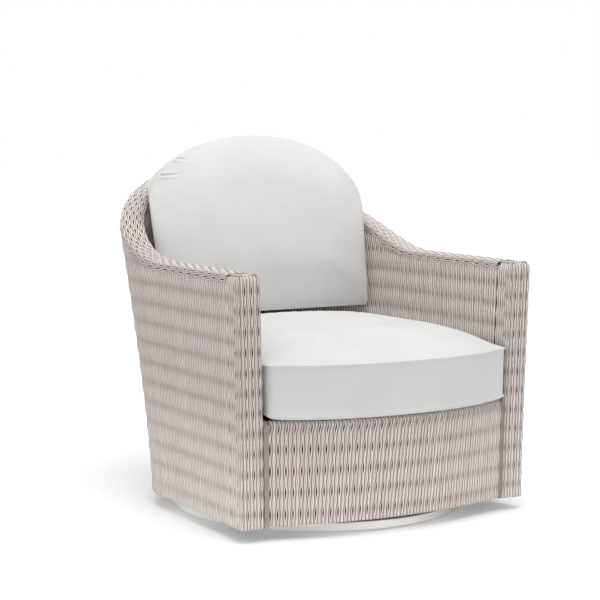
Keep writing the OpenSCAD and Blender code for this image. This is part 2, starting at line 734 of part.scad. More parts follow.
module right_edge_strip() {
    color(strip_colour) centred() skirt_piece(strip_u + gap_u, 1 - gap_u, 1);
}
module left_edge_strip() {
    color(strip_colour) centred() skirt_piece(gap_u - 1, -strip_u - gap_u, 1);
}

// The front bar runs inside the roll, and the front hoop behind the skirt's foot. Each goes straight on
// through the posts' weave to the post tubes
module front_tube(z, in) {
    end_u = (half_width(z) - post_tube_in - square_tube - meet) / skirt_half(z);
    us = concat([-end_u], [for (i = [0:skirt_steps]) 2 * i / skirt_steps - 1], [end_u]);
    loft([for (u = us) let (x = skirt_half(z) * u, y = skirt_y(min(abs(u), 1), z) + in)
        [for (a = [0:tube_sides - 1]) let (t = 360 * (a + 0.5) / tube_sides)
            [x, y - tube_d / 2 * cos(t), z - tube_d / 2 * sin(t)]]]);
}
module front_seat_bar() { color(grey_metal) centred() front_tube(front_bar_z, roll_r); }
module front_hoop() { color(grey_metal) centred() front_tube(hoop_height, roll_r); }

// The deck's straps: those along lie on the front and rear bars, and those across lie over them
function inner_half(z) = bar_x(z) - square_tube;
module straps_across() {
    reach = bar_x(bar_z) - square_tube / 3;
    from = side_bar_front + strap_w; to = side_bar_rear - strap_w;
    color(webbing) centred() for (i = [0:straps_across_n - 1])
        translate([-reach, mix(from, to, i / (straps_across_n - 1)) - strap_w / 2, bar_top])
            cube([2 * reach, strap_w, strap_t]);
}
function strap_rear(x) = let (d = curve_at(bar_z) - bar_inset - square_tube / 2, n = square_at(bar_z))
    side_bar_rear + d * pow(1 - pow(abs(x) / (bar_x(bar_z) - square_tube / 2), n), 1 / n);
module straps_along() {
    reach = inner_half(bar_z) - strap_w;
    color(webbing) centred() for (i = [0:straps_along_n - 1]) let (
        x = mix(-reach, reach, i / (straps_along_n - 1)),
        front = skirt_y((abs(x) + strap_w / 2) / skirt_half(skirt_top), skirt_top) + roll_r + strap_t,
        rear = strap_rear(max(abs(x) + strap_w / 2, 0)) + square_tube / 4)
        translate([x - strap_w / 2, front, low_bar_top]) cube([strap_w, rear - front, strap_t]);
}

// Post tubes lean with the arms
post_tube_top = arm_height - cap_web - tube_d - 2 * meet;
post_tube_foot = hoop_height - tube_d / 2;
post_levels = [for (j = [0:wall_steps]) mix(post_tube_foot, post_tube_top, j / wall_steps)];
function post_square(z, in) = let (x = half_width(z) - post_tube_in, y = post_w / 2 - front_at(z),
    h = square_tube / 2) [[x - in, y - h + in, z], [x - in, y + h - in, z],
    [x - square_tube + in, y + h - in, z], [x - square_tube + in, y - h + in, z]];
module post_tube() {
    difference() {
        loft([for (z = post_levels) post_square(z, 0)]);
        loft([for (z = concat([post_tube_foot - over], post_levels, [post_tube_top + over]))
            post_square(z, tube_wall)]);
    }
}
module right_post_tube() { color(grey_metal) centred() post_tube(); }
module left_post_tube() { color(grey_metal) centred() mirror([1, 0, 0]) post_tube(); }

// The hoop and the rail's tube follow the shell; the hoop starts behind the post tubes
module bottom_hoop() {
    color(grey_metal) centred() loft([for (i = [1:last - 1])
        bar_ring(i, hoop_height, frame_inset, tube_d / 2)]);
}
function rail_tube_z(i) = rail_top(i) - cap_web - meet - tube_d / 2;
module rail_tube() {
    color(grey_metal) centred() loft([for (i = [0:last])
        let (in = frame_inset, z = rail_tube_z(i), p = wall_point(i, z, in),
            q = i == 0 || i == last ? [p.x, p.y + 2 * weave_t, z] : p)
        [for (a = [0:tube_sides - 1]) let (t = 360 * (a + 0.5) / tube_sides, n = top_in[i])
            q + tube_d / 2 * [n.x * cos(t), n.y * cos(t), sin(t)]]]);
}

// Uprights are bent to the wall's flare and stand between the hoop and the rail's tube, whose climb on each
// side of a station lowers their tops
upright_steps = 6;
upright_less = 1;
upright_d = tube_d - upright_less;
function upright_station(k) = round(mix(side_steps, last - side_steps, k / (uprights - 1)));
function climb(i) = let (d = wall_point(i + 1, rail_tube_z(i + 1), frame_inset)
    - wall_point(i, rail_tube_z(i), frame_inset)) abs(d.z) / norm([d.x, d.y]);
function upright_top(i) = rail_tube_z(i) - tube_d / 2 - max(climb(i - 1), climb(i)) * tube_d / 2 - meet;
module uprights() {
    color(grey_metal) centred() for (k = [0:uprights - 1]) let (i = upright_station(k),
        foot = hoop_height + tube_d / 2 + meet / 2, top = upright_top(i))
        loft([for (j = [0:upright_steps]) let (z = mix(foot, top, j / upright_steps),
            c = wall_point(i, z, frame_inset)) [for (a = [0:tube_sides - 1])
                let (t = 360 * a / tube_sides) c + upright_d / 2 * [cos(t), sin(t), 0]]]);
}

// Woven walls: the outer one from the skirt's edge to the rail, the inner one from the deck to the rail. The
// outer face rises and dips in turn, from row to row and from station to station, as floats of plain weave
// do; its rows keep the weave's own height, and its edges and ends stay plain where other pieces meet them
weave_rows = round(((arm_height + back_height) / 2 - cap_h - skirt_gap) / weave_row);
function dip(i, j, rows, deep) = i == 1 || i == last - 1 || j == 0 || j == rows ? 0 : deep * ((i + j) % 2);
function wall_column(i, foot, in, rows, deep) = let (top = rail_top(i) - cap_h - meet)
    [for (j = [0:rows]) wall_point(i, mix(foot, top, j / rows), in + dip(i, j, rows, deep))];
module wall(foot, in, rows, deep) {
    slab([for (i = [1:last - 1]) wall_column(i, foot, in, rows, deep)],
        [for (i = [1:last - 1]) wall_column(i, foot, in + weave_t, rows, 0)]);
}
module outer_weave() { color(weave_colour) centred() wall(skirt_gap, 0, weave_rows, weave_dip); }
module inner_weave() {
    color(weave_colour) centred() wall(deck_height + meet, rail_w - weave_t, wall_steps, 0);
}

// An arm's post: its front and the two sides beside it, with round corners
post_top = arm_height - cap_h - meet;
corner_steps = 4;
function post_outline(z, t) = let (x = half_width(z) - t, l = half_width(z) - post_w + t,
    f = -front_at(z) + t, rear = -front_at(z) + post_w - meet, r = post_r - t) concat(
    [[l, rear, z]],
    [for (j = [0:corner_steps]) let (a = 180 + 90 * j / corner_steps)
        [l + r + r * cos(a), f + r + r * sin(a), z]],
    [for (j = [0:corner_steps]) let (a = 270 + 90 * j / corner_steps)
        [x - r + r * cos(a), f + r + r * sin(a), z]],
    [[x, rear, z]]);
function columns(rows) = [for (k = [0:len(rows[0]) - 1]) [for (r = rows) r[k]]];
module arm_post() {
    zs = [for (j = [0:wall_steps]) mix(skirt_gap, post_top, j / wall_steps)];
    difference() {
        slab(columns([for (z = zs) post_outline(z, 0)]), columns([for (z = zs) post_outline(z, weave_t)]));
        for (z = [hoop_height, front_bar_z])
            translate([half_width(z) - post_w - over, skirt_y(1, z) + roll_r, z])
                rotate([0, 90, 0]) cylinder(d = tube_d + 2 * meet, h = weave_t + 2 * over, $fn = 32);
        translate([bar_x(bar_z) - square_tube - meet, side_bar_front - meet, bar_z - meet])
            cube([square_tube + 2 * meet, post_w, square_tube + 2 * meet]);
    }
}
module right_arm_post() { color(weave_colour) centred() arm_post(); }
module left_arm_post() { color(weave_colour) centred() mirror([1, 0, 0]) arm_post(); }

// The rail's cap: a rounded channel over the frame tube, swept round the shell
edge_share = 0.3;
cap_outside = [[0, -cap_h], [0, -cap_h * edge_share], [cap_rim / 3, -cap_h * edge_share / 3], [cap_rim, 0],
    [rail_w - cap_rim, 0], [rail_w - cap_rim / 3, -cap_h * edge_share / 3],
    [rail_w, -cap_h * edge_share], [rail_w, -cap_h]];
cap_inside = [[cap_rim, -cap_h], [cap_rim, -(cap_h + cap_web) / 2], [cap_rim, -cap_web],
    [rail_w / 3, -cap_web], [2 * rail_w / 3, -cap_web], [rail_w - cap_rim, -cap_web],
    [rail_w - cap_rim, -(cap_h + cap_web) / 2], [rail_w - cap_rim, -cap_h]];
cap_end_shares = [[0, 0.5], [0.3, 0.15], [1, 0]];
cap_end_r = 8;
function cap_point(i, q, ahead, round_by) = let (n = top_in[i],
    p = top_plan[i] + n * (round_by + q.x * (1 - 2 * round_by / rail_w)))
    [p.x, p.y + ahead, rail_top(i) + q.y - round_by * (1 + q.y / cap_h)];
function cap_end(i, section) = [for (e = cap_end_shares)
    [for (q = section) cap_point(i, q, e[0] * cap_end_r, e[1] * cap_end_r)]];
function closed(section) = [for (q = section) [q.x, -cap_h]];
function turned(list) = [for (i = [len(list) - 1:-1:0]) list[i]];
cap_open_y = cap_end_r + meet;
function cap_rows(section, end_section) = concat(cap_end(0, end_section),
    [[for (q = section) cap_point(0, q, cap_open_y, 0)]],
    [for (i = [1:last - 1]) [for (q = section) cap_point(i, q, 0, 0)]],
    [[for (q = section) cap_point(last, q, cap_open_y, 0)]], turned(cap_end(last, end_section)));
module top_rail() {
    color(weave_colour) centred()
        slab(cap_rows(cap_outside, cap_outside), cap_rows(cap_inside, closed(cap_inside)));
}

// Seat cushion: rings of one plan, each inset by a share of the box height and drawn in to its middle. Its
// sides follow the lean of the arms, and its rear keeps inside the narrower of the arms and the back
side_pts = 6;
front_pts = 14;
rear_pts = 16;
seat_bow_power = 2.4;
seat_corner_lip = 6;
seat_mid_y = (seat_front_y + straight_at(seat_base_z) + curve_at(seat_base_z)) / 2;
function inner_face(z) = half_width(z) - rail_w;
function back_face(z) = mix(foot_span, arm_span, back_k(z)) / 2 - rail_w;
function seat_plan(in, z) = let (w = inner_face(z) - seat_side_gap - in,
    rear_w = min(w, back_face(z) - seat_side_gap - in), f = seat_front_y + in,
    corner = -front_at(seam_z) - seat_corner_lip + in, n = square_at(seat_base_z),
    y1 = straight_at(seat_base_z), d = curve_at(seat_base_z) - rail_w - seat_side_gap - in) concat(
    [for (i = [0:front_pts]) let (u = 2 * i / front_pts - 1)
        [w * u, mix(f, corner, pow(abs(u), seat_bow_power))]],
    [for (i = [1:side_pts]) [w, mix(corner, y1, i / side_pts)]],
    [for (i = [1:2 * rear_pts - 1]) let (a = 180 * i / (2 * rear_pts))
        [mix(w, rear_w, sin(a)) * sign(cos(a)) * pow(abs(cos(a)), 2 / n), y1 + d * pow(sin(a), 2 / n)]],
    [for (i = [side_pts:-1:1]) [-w, mix(corner, y1, i / side_pts)]]);
function seat_ring(z, in, k) = [for (p = seat_plan(in, min(z, seam_z)))
    [p.x * k, mix(seat_mid_y, p.y, k), z]];
seat_box_shares = [[0, 0.50], [0.02, 0.30], [0.05, 0.11], [0.12, 0.02], [0.36, 0], [0.70, 0],
    [0.94, 0.02], [1, 0.045]];
seat_crown_shares = [[0.17, 0.97], [0.44, 0.92], [0.72, 0.84], [0.92, 0.72], [1, 0.60]];
seat_crown_in = seat_box_h * seat_box_shares[7][1];
module seat_cushion() {
    color(cloth_colour) centred() loft(concat(
        [for (s = seat_box_shares) seat_ring(seat_base_z + seat_box_h * s[0], seat_box_h * s[1], 1)],
        [for (s = seat_crown_shares) seat_ring(seam_z + seat_crown * s[0],
            seat_crown_in, s[1])]));
}

// Half the room inside the shell at a depth and a height, which widens above the rail, and the room's rear
rear_share = 0.98;
function room_depth(z) = curve_at(z) - rail_w - back_gap;
function room(y, z) = let (n = square_at(z),
    s = max(0, min((y - straight_at(z)) / room_depth(z), rear_share)))
    (back_face(z) - back_gap) * pow(1 - pow(s, n), 1 / n)
    + over_rail * ease((z - back_height + widen_below) / widen_below);
function room_rear(z) = straight_at(z) + rear_share * room_depth(z);

// Back cushion: a dome seen from the front, leaning back, with its sides and its back held in by the room
dome_pts = 24;
corner_pts = 4;
room_power = 40;
back_box_shares = [[1, 0.95], [0.96, 0.58], [0.88, 0.33], [0.77, 0.16], [0.66, 0.07], [0.40, 0.01],
    [0.14, 0], [0, 0.04]];
back_crown_shares = [[0.26, 0.12], [0.58, 0.36], [0.82, 0.68], [0.96, 1.02], [1, 1.3]];
seat_rear = straight_at(seat_base_z) + curve_at(seat_base_z) - rail_w - seat_side_gap - seat_crown_in;
back_rests_y = back_cushion_front + back_cushion_t * back_box_shares[6][0];
crown_share = lookup((back_rests_y - seat_mid_y) / (seat_rear - seat_mid_y),
    [for (s = seat_crown_shares) [s[1], s[0]]]);
back_base_z = seam_z + seat_crown * crown_share + meet;
function least(a, b) = pow(pow(a / b, room_power) + 1, -1 / room_power) * a;
function dome_ring(behind, in) = let (w = back_cushion_w / 2 - in, z0 = in, z1 = back_cushion_h - in,
    zs = max(back_dome_start, z0 + min(w, back_corner_r)), r = min(w, back_corner_r),
    flat = concat([for (i = [0:corner_pts]) let (a = 270 + 90 * i / corner_pts)
            [w - r + r * cos(a), z0 + r + r * sin(a)]],
        [for (i = [0:dome_pts]) let (a = 180 * i / dome_pts)
            [w * sign(cos(a)) * pow(abs(cos(a)), 2 / dome_power),
                zs + (z1 - zs) * pow(max(sin(a), 0), 2 / dome_power)]],
        [for (i = [0:corner_pts]) let (a = 180 + 90 * i / corner_pts)
            [r - w + r * cos(a), z0 + r + r * sin(a)]])) [for (p = flat)
    let (z = back_base_z + p.y, seam_y = back_cushion_front + back_lean * p.y / back_cushion_h,
        y = seam_y + (behind > 0 ? least(behind, room_rear(z) - seam_y) : behind))
        [sign(p.x) * least(abs(p.x), room(y, z)), y, z]];
module back_cushion() {
    color(cloth_colour) centred() loft(concat(
        [for (s = back_box_shares) dome_ring(back_cushion_t * s[0], back_cushion_t * s[1])],
        [for (s = back_crown_shares) dome_ring(-back_crown * s[0], back_cushion_t * s[1])]));
}

base_ring();
cross_tube();
front_spoke();
rear_spoke();
hub_plate();
hub_bolts();
floor_glides();
lower_race();
king_pin();
king_nut();
bearing_cage();
bearing_balls();
upper_race();
swivel_plate();
swivel_bush();
left_bracket();
right_bracket();
pivot_bushes();
lower_cups();
bump_stops();
bracket_bolts();
front_springs();
rear_springs();
pivot_shaft();
shaft_collars();
rocker_plate();
rocker_ears();
upper_cups();
front_rail();
rear_rail();
rail_bolts();
left_post_tube();
right_post_tube();
uprights();
bottom_hoop();
rail_tube();
front_hoop();
left_seat_bar();
right_seat_bar();
front_seat_bar();
rear_seat_bar();
straps_across();
straps_along();
outer_weave();
inner_weave();
left_arm_post();
right_arm_post();
top_rail();
front_skirt();
left_edge_strip();
right_edge_strip();
seat_cushion();
back_cushion();
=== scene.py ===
# %% [markdown]
# # A woven swivel rocker
# The imported model is loaded first. It gives the frame that every piece keeps to: metres, the floor at
# z = 0, the chair facing -Y. The wicker, the cushions and the springs are modelled here; the wicker and the
# cushions ride on the loaded bodies. The metal pieces stay as they are and get finishes.

# %% Load the frame
import json
import math
import bpy
import numpy as np
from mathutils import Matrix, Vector


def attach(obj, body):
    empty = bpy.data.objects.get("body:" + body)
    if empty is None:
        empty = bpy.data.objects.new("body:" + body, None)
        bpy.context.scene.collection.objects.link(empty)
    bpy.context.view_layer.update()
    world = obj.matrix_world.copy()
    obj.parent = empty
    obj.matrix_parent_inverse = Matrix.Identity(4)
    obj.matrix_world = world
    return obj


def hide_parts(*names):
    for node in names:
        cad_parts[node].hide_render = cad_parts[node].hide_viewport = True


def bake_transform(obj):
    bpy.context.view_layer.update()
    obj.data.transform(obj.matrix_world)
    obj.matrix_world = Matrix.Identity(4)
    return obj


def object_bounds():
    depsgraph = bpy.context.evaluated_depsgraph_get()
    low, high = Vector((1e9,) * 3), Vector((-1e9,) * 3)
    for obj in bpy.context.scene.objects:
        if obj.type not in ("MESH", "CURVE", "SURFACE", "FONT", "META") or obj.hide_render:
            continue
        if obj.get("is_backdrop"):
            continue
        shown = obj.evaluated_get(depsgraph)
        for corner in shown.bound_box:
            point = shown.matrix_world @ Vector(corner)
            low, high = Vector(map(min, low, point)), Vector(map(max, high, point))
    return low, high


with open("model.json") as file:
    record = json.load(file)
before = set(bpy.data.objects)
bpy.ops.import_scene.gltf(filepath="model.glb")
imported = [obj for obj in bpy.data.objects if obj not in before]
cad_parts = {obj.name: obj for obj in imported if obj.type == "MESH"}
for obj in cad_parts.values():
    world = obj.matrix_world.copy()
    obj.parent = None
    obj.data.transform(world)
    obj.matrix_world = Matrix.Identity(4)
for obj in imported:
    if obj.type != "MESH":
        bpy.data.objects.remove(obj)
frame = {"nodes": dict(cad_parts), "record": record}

bpy.context.scene.view_settings.view_transform = "Standard"
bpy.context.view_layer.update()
nodes = frame["nodes"]
axis_y = -0.0725

# %% [markdown]
# ## Small helpers for working by hand
# An operator acts on all that is selected, so each step starts from an empty selection. Vertices and faces
# are picked by their place, as one would with the mouse.

# %% Selection helpers
def deselect():
    if bpy.context.object and bpy.context.object.mode != "OBJECT":
        bpy.ops.object.mode_set(mode="OBJECT")
    bpy.ops.object.select_all(action="DESELECT")


def pick(piece):
    deselect()
    piece.select_set(True)
    bpy.context.view_layer.objects.active = piece
    return piece


def edit_where(piece, test):
    pick(piece)
    mesh = piece.data
    mesh.polygons.foreach_set("select", [False] * len(mesh.polygons))
    mesh.edges.foreach_set("select", [False] * len(mesh.edges))
    mesh.vertices.foreach_set("select", [bool(test(v.co)) for v in mesh.vertices])
    bpy.ops.object.mode_set(mode="EDIT")
    bpy.ops.mesh.select_mode(type="VERT")


def on_whole(piece, step, **settings):
    pick(piece)
    bpy.ops.object.mode_set(mode="EDIT")
    bpy.ops.mesh.select_all(action="SELECT")
    step(**settings)
    bpy.ops.object.mode_set(mode="OBJECT")


def apply_modifier(piece, kind, **settings):
    pick(piece)
    modifier = piece.modifiers.new(kind.title(), kind)
    for key, value in settings.items():
        setattr(modifier, key, value)
    bpy.ops.object.modifier_apply(modifier=modifier.name)


def points(piece):
    flat = np.zeros(len(piece.data.vertices) * 3)
    piece.data.vertices.foreach_get("co", flat)
    return flat.reshape(-1, 3)


def set_points(piece, co):
    piece.data.vertices.foreach_set("co", np.asarray(co, float).ravel())
    piece.data.update()


def join(first, *others):
    pick(first)
    for piece in others:
        piece.select_set(True)
    bpy.ops.object.join()
    return first


def set_value(piece, name, values):
    layer = piece.data.attributes.get(name) or piece.data.attributes.new(name, "FLOAT", "POINT")
    layer.data.foreach_set("value", np.asarray(values, float))


def get_value(piece, name):
    out = np.zeros(len(piece.data.vertices))
    piece.data.attributes[name].data.foreach_get("value", out)
    return out


def smooth(piece, degrees=180.0):
    pick(piece)
    bpy.ops.object.shade_smooth_by_angle(angle=math.radians(degrees))


def copy_of(piece, name):
    twin = piece.copy()
    twin.data = piece.data.copy()
    twin.name = name
    bpy.context.scene.collection.objects.link(twin)
    return twin


print("helpers ready")

# %% [markdown]
# ## The shell's shape in numbers
# The wicker has to lie on the same surface as the frame's walls, so the same plan is worked out here: a
# straight side, then a squared oval round the back, once at the bottom edge and once at the rail. The
# rail stays level along the arm and then climbs in one smooth S to the back. Between the bottom edge and
# the rail the wall flares.

# %% The shell's plan
ARM_SPAN, FOOT_SPAN = 0.838, 0.812
ARM_FRONT, FOOT_FRONT = 0.355, 0.347
ARM_HEIGHT, BACK_HEIGHT = 0.636, 0.861
SKIRT_GAP, CAP_H, RAIL_W = 0.032, 0.024, 0.066
POST_W, POST_R = 0.064, 0.009
FOOT_BEND, TOP_BEND = (0.099, 0.298, 2.1), (0.199, 0.390, 2.4)
DECK = 0.2859


def mix(a, b, k):
    return a + (b - a) * k


def ease(t):
    u = np.clip(t, 0.0, 1.0)
    return u * u * (3 - 2 * u)


def plan(width, front, straight, depth, square, side=40, curve=90):
    k = np.linspace(0, 1, side + 1)
    right = np.stack([np.full(side + 1, width), -front + POST_W + (straight + front - POST_W) * k], 1)
    a = np.radians(90 * np.arange(1, curve + 1) / curve)
    bend = np.stack([width * np.maximum(np.cos(a), 0) ** (2 / square),
                     straight + depth * np.sin(a) ** (2 / square)], 1)
    half = np.vstack([[[width, -front]], right, bend])
    return np.vstack([half, half[-2::-1] * [-1, 1]])


def inward(line):
    d = np.vstack([line[1:], line[-1:]]) - np.vstack([line[:1], line[:-1]])
    return np.stack([-d[:, 1], d[:, 0]], 1) / np.linalg.norm(d, axis=1)[:, None]


foot = plan(FOOT_SPAN / 2, FOOT_FRONT, *FOOT_BEND)
top = plan(ARM_SPAN / 2, ARM_FRONT, *TOP_BEND)
foot_in, top_in = inward(foot), inward(top)
run = np.concatenate([[0], np.cumsum(np.linalg.norm(np.diff(top, axis=0), axis=1))])
full_run = run[-1]


def along(table, s):
    return np.stack([np.interp(s, run, table[:, 0]), np.interp(s, run, table[:, 1])], -1)


def rail_top(s):
    near = np.minimum(s, full_run - s)
    return ARM_HEIGHT + (BACK_HEIGHT - ARM_HEIGHT) * ease((near - 0.447) / (full_run / 2 - 0.077 - 0.447))


def flared(z, top_z):
    return np.clip((z - SKIRT_GAP) / (top_z - CAP_H - SKIRT_GAP), 0, 1) ** 1.3


def wall(s, z, inset):
    k = flared(z, rail_top(s))[..., None]
    across = mix(along(foot_in, s), along(top_in, s), k)
    flat = mix(along(foot, s), along(top, s), k) + across * inset[..., None]
    return np.stack([flat[..., 0], flat[..., 1] + axis_y, z], -1)


def half_width(z):
    return mix(FOOT_SPAN, ARM_SPAN, flared(z, ARM_HEIGHT)) / 2


def front_at(z):
    return mix(FOOT_FRONT, ARM_FRONT, flared(z, ARM_HEIGHT))


print("rail run", round(full_run, 3), "m")

# %% [markdown]
# ## Camera, floor and light
# The camera stands where the photograph was taken from, a little above the arms and to the chair's right.
# The studio is plain: a white floor that runs off into a white world, a wide lamp above, a weak one in front
# and a thin one near the floor, which reaches in under the skirt to the ring. The floor is a little brighter
# to the camera than its paint, so that it ends in white and still keeps the chair's shadow. Near the chair
# the lift is smaller, which paints extra shadow round the chair's foot.

# %% Camera
target = Vector((-0.05437, -0.0725, 0.52921))
back = Vector((-0.48930, -0.86626, 0.10088)).normalized()
eye = bpy.data.cameras.new("camera")
camera = bpy.data.objects.new("camera", eye)
bpy.context.scene.collection.objects.link(camera)
camera.location = target + back * 4.5939
camera.rotation_euler = back.to_track_quat("Z", "Y").to_euler()
eye.sensor_width = 36
eye.lens = 106.97
eye.clip_end = 100
bpy.context.scene.camera = camera
print("camera at", [round(c, 3) for c in camera.location])


# %% Node helpers
def new_material(name):
    material = bpy.data.materials.new(name)
    material.use_nodes = True
    tree = material.node_tree
    return material, tree.nodes, tree.links, tree.nodes["Principled BSDF"]


def add(tree_nodes, kind, **values):
    made = tree_nodes.new(kind)
    for key, value in values.items():
        if hasattr(made, key):
            setattr(made, key, value)
        else:
            made.inputs[key.replace("_", " ")].default_value = value
    return made


def ramp(tree_nodes, stops):
    made = tree_nodes.new("ShaderNodeValToRGB")
    line = made.color_ramp.elements
    while len(line) < len(stops):
        line.new(0.5)
    for spot, (place, colour) in zip(line, stops):
        spot.position = place
        spot.color = (*colour, 1)
    return made


def srgb(r, g, b):
    return tuple((c / 255 / 12.92) if c <= 10 else ((c / 255 + 0.055) / 1.055) ** 2.4 for c in (r, g, b))


print("cloth white as linear:", [round(c, 2) for c in srgb(238, 238, 236)])

# %% Floor, world and lamps
deselect()
bpy.ops.mesh.primitive_plane_add(size=60, location=(0, 0, 0))
floor = bpy.context.object
floor.name = "studio_floor"
floor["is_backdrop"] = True
paper, graph, links, shader = new_material("studio_paper")
shader.inputs["Base Color"].default_value = (0.94, 0.94, 0.94, 1)
shader.inputs["Roughness"].default_value = 0.95
shader.inputs["Specular IOR Level"].default_value = 0.0
rays = add(graph, "ShaderNodeLightPath")
seen = add(graph, "ShaderNodeMath", operation="MAXIMUM")
links.new(rays.outputs["Is Camera Ray"], seen.inputs[0])
links.new(rays.outputs["Is Glossy Ray"], seen.inputs[1])
shader.inputs["Emission Color"].default_value = (1, 1, 1, 1)
spot = add(graph, "ShaderNodeTexCoord")
reach = add(graph, "ShaderNodeVectorMath", operation="LENGTH")
links.new(spot.outputs["Object"], reach.inputs[0])
# The lift is smaller near the chair, so the floor round its foot is darker: a painted shadow.
glow = add(graph, "ShaderNodeMapRange", interpolation_type="SMOOTHSTEP")
for name, value in (("From Min", 0.45), ("From Max", 2.6), ("To Min", 0.25), ("To Max", 0.40)):
    glow.inputs[name].default_value = value
links.new(reach.outputs["Value"], glow.inputs["Value"])
lift = add(graph, "ShaderNodeMath", operation="MULTIPLY")
links.new(seen.outputs[0], lift.inputs[0])
links.new(glow.outputs["Result"], lift.inputs[1])
links.new(lift.outputs[0], shader.inputs["Emission Strength"])
floor.data.materials.append(paper)

world = bpy.data.worlds.new("studio")
bpy.context.scene.world = world
world.use_nodes = True
sky_graph, sky_links = world.node_tree.nodes, world.node_tree.links
sky = sky_graph["Background"]
sky.inputs["Color"].default_value = (1, 1, 1, 1)
wrays = add(sky_graph, "ShaderNodeLightPath")
level = add(sky_graph, "ShaderNodeMapRange")
level.inputs["To Min"].default_value = 0.68
level.inputs["To Max"].default_value = 1.0
sky_links.new(wrays.outputs["Is Camera Ray"], level.inputs["Value"])
sky_links.new(level.outputs["Result"], sky.inputs["Strength"])


def lamp(name, place, aim, size, watts):
    light = bpy.data.lights.new(name, "AREA")
    light.shape = "DISK"
    light.size = size
    light.energy = watts
    stand = bpy.data.objects.new(name, light)
    bpy.context.scene.collection.objects.link(stand)
    stand.location = place
    stand.rotation_euler = (Vector(place) - Vector(aim)).to_track_quat("Z", "Y").to_euler()
    return light


lamp("lamp_above", (-0.1, -0.7, 3.4), (0, 0, 0.5), 2.4, 55)
lamp("lamp_front", (-1.4, -3.6, 2.2), (0, 0, 0.4), 2.2, 2.6)
low = lamp("lamp_low", (-3.2, -3.5, 0.16), (-0.05, -0.36, 0.0), 1.0, 0.85)
low.shape = "RECTANGLE"
low.size, low.size_y = 2.4, 0.12
low.spread = math.radians(10)
print("studio lit")

# %% [markdown]
# ## The wicker's unit
# The wicker is woven from flat synthetic strands in pairs. A wide pair bows apart in the low rows, so that
# a dark slit opens between its two strands, and is pinched together in the high rows. The narrow pair
# beside it does the opposite, so the pattern closes. The slits of all the wide pairs lie in the same rows,
# which is why the real wall shows level bands. Each strand is extruded ring by ring along one full wave,
# and four of them make a unit that is then laid in rows and columns. The posts also need a unit that starts
# with the narrow pair, and the rail needs one with two equal pairs, a braid more than a wall.

# %% One strand
PITCH, PERIOD, SEGMENTS = 0.020, 0.050, 8
STRAND_W, STRAND_T = 0.0028, 0.0010
PINCH, DIP = 0.0014, 0.0010


def bowed(k):
    k = np.asarray(k, float)
    straight = 1 - np.abs(2 * k / SEGMENTS - 1)
    return 0.65 * straight + 0.35 * np.cos(np.pi * (k / SEGMENTS - 0.5)) ** 2


def strand_wave(k, bow, rise):
    w = float(bowed(k))
    return PINCH + bow * w, rise * (2 * w - 1)


def make_strand(name, bow, rise, centre, start):
    deselect()
    bpy.ops.mesh.primitive_circle_add(vertices=4, radius=math.sqrt(2), location=(0, 0, 0),
                                      rotation=(math.pi / 2, 0, 0))
    piece = bpy.context.object
    piece.name = name
    bpy.ops.object.transform_apply(location=True, rotation=True, scale=True)
    bpy.ops.object.mode_set(mode="EDIT")
    bpy.ops.mesh.select_all(action="SELECT")
    bpy.ops.transform.rotate(value=math.pi / 4, orient_axis="Y", center_override=(0, 0, 0))
    x, up = strand_wave(0, bow, rise)
    bpy.ops.transform.resize(value=(STRAND_W, 1, STRAND_T))
    edit_where(piece, lambda co: co.z > 0)
    bpy.ops.transform.resize(value=(0.5, 1, 1), center_override=(0, 0, STRAND_T))
    bpy.ops.mesh.select_all(action="SELECT")
    bpy.ops.transform.translate(value=(centre + x, start, up))
    for k in range(1, SEGMENTS + 1):
        nx, nup = strand_wave(k, bow, rise)
        bpy.ops.mesh.extrude_region_move(
            TRANSFORM_OT_translate={"value": (nx - x, PERIOD / SEGMENTS, nup - up)})
        x, up = nx, nup
    bpy.ops.mesh.select_all(action="SELECT")
    bpy.ops.mesh.normals_make_consistent(inside=False)
    bpy.ops.object.mode_set(mode="OBJECT")
    return piece


def finish_strand(piece, bow, rise, centre, start, number):
    co = points(piece)
    w = bowed((co[:, 1] - start) / PERIOD * SEGMENTS)
    off = co[:, 0] - (centre + PINCH + bow * w)
    co[:, 2] += 0.30 * (1 - w) * off
    set_points(piece, co)
    # across and crest feed the wicker finish: across places a painted highlight on the edge by the slit and
    # painted shade on the outer edge, and crest places painted shade on the low rows.
    set_value(piece, "across", off / STRAND_W)
    set_value(piece, "crest", w if rise > 0 else 1 - w)
    set_value(piece, "which", np.full(len(co), float(number)))


def make_unit(name, pairs):
    made = []
    for number, (bow, rise, centre, start) in enumerate(pairs):
        one = make_strand("strand", bow, rise, centre, start)
        finish_strand(one, bow, rise, centre, start, 2 * number)
        other = copy_of(one, "strand_mirror")
        co = points(other)
        co[:, 0] = 2 * centre - co[:, 0]
        set_points(other, co)
        set_value(other, "which", np.full(len(co), 2 * number + 1.0))
        on_whole(other, bpy.ops.mesh.flip_normals)
        made += [one, other]
    joined = join(*made)
    joined.name = name
    print(name, len(joined.data.polygons), "faces")
    return joined


unit = make_unit("wicker_unit", [(0.0032, -DIP, 0.005, -PERIOD / 2), (0.0017, DIP, 0.015, 0.0)])
swapped_unit = make_unit("swapped_unit", [(0.0017, DIP, 0.005, 0.0), (0.0032, -DIP, 0.015, -PERIOD / 2)])
rail_unit = make_unit("rail_unit", [(0.0032, 0.0008, 0.005, -PERIOD / 2), (0.0032, 0.0008, 0.015, 0.0)])

# %% [markdown]
# ## Laying a panel
# A flat panel is a column of units, repeated sideways. It is trimmed to its outline while it is still flat,
# where a cut is easy, and only then laid on the shell: its x becomes the way round the shell, its y the way
# up and its z the height above the surface. Every strand keeps three values for the finish: how far from its
# middle a point is, which sets its painted edge highlight and shade, how much painted shade its row gets,
# and a tone of its own, because no two lengths of wicker match.

# %% Panels
rng = np.random.default_rng(11)
# Depth of the dark sheet behind the weave, which is painted shade for the hollow wall.
SHADE_SHEET_DEPTH = 0.0036


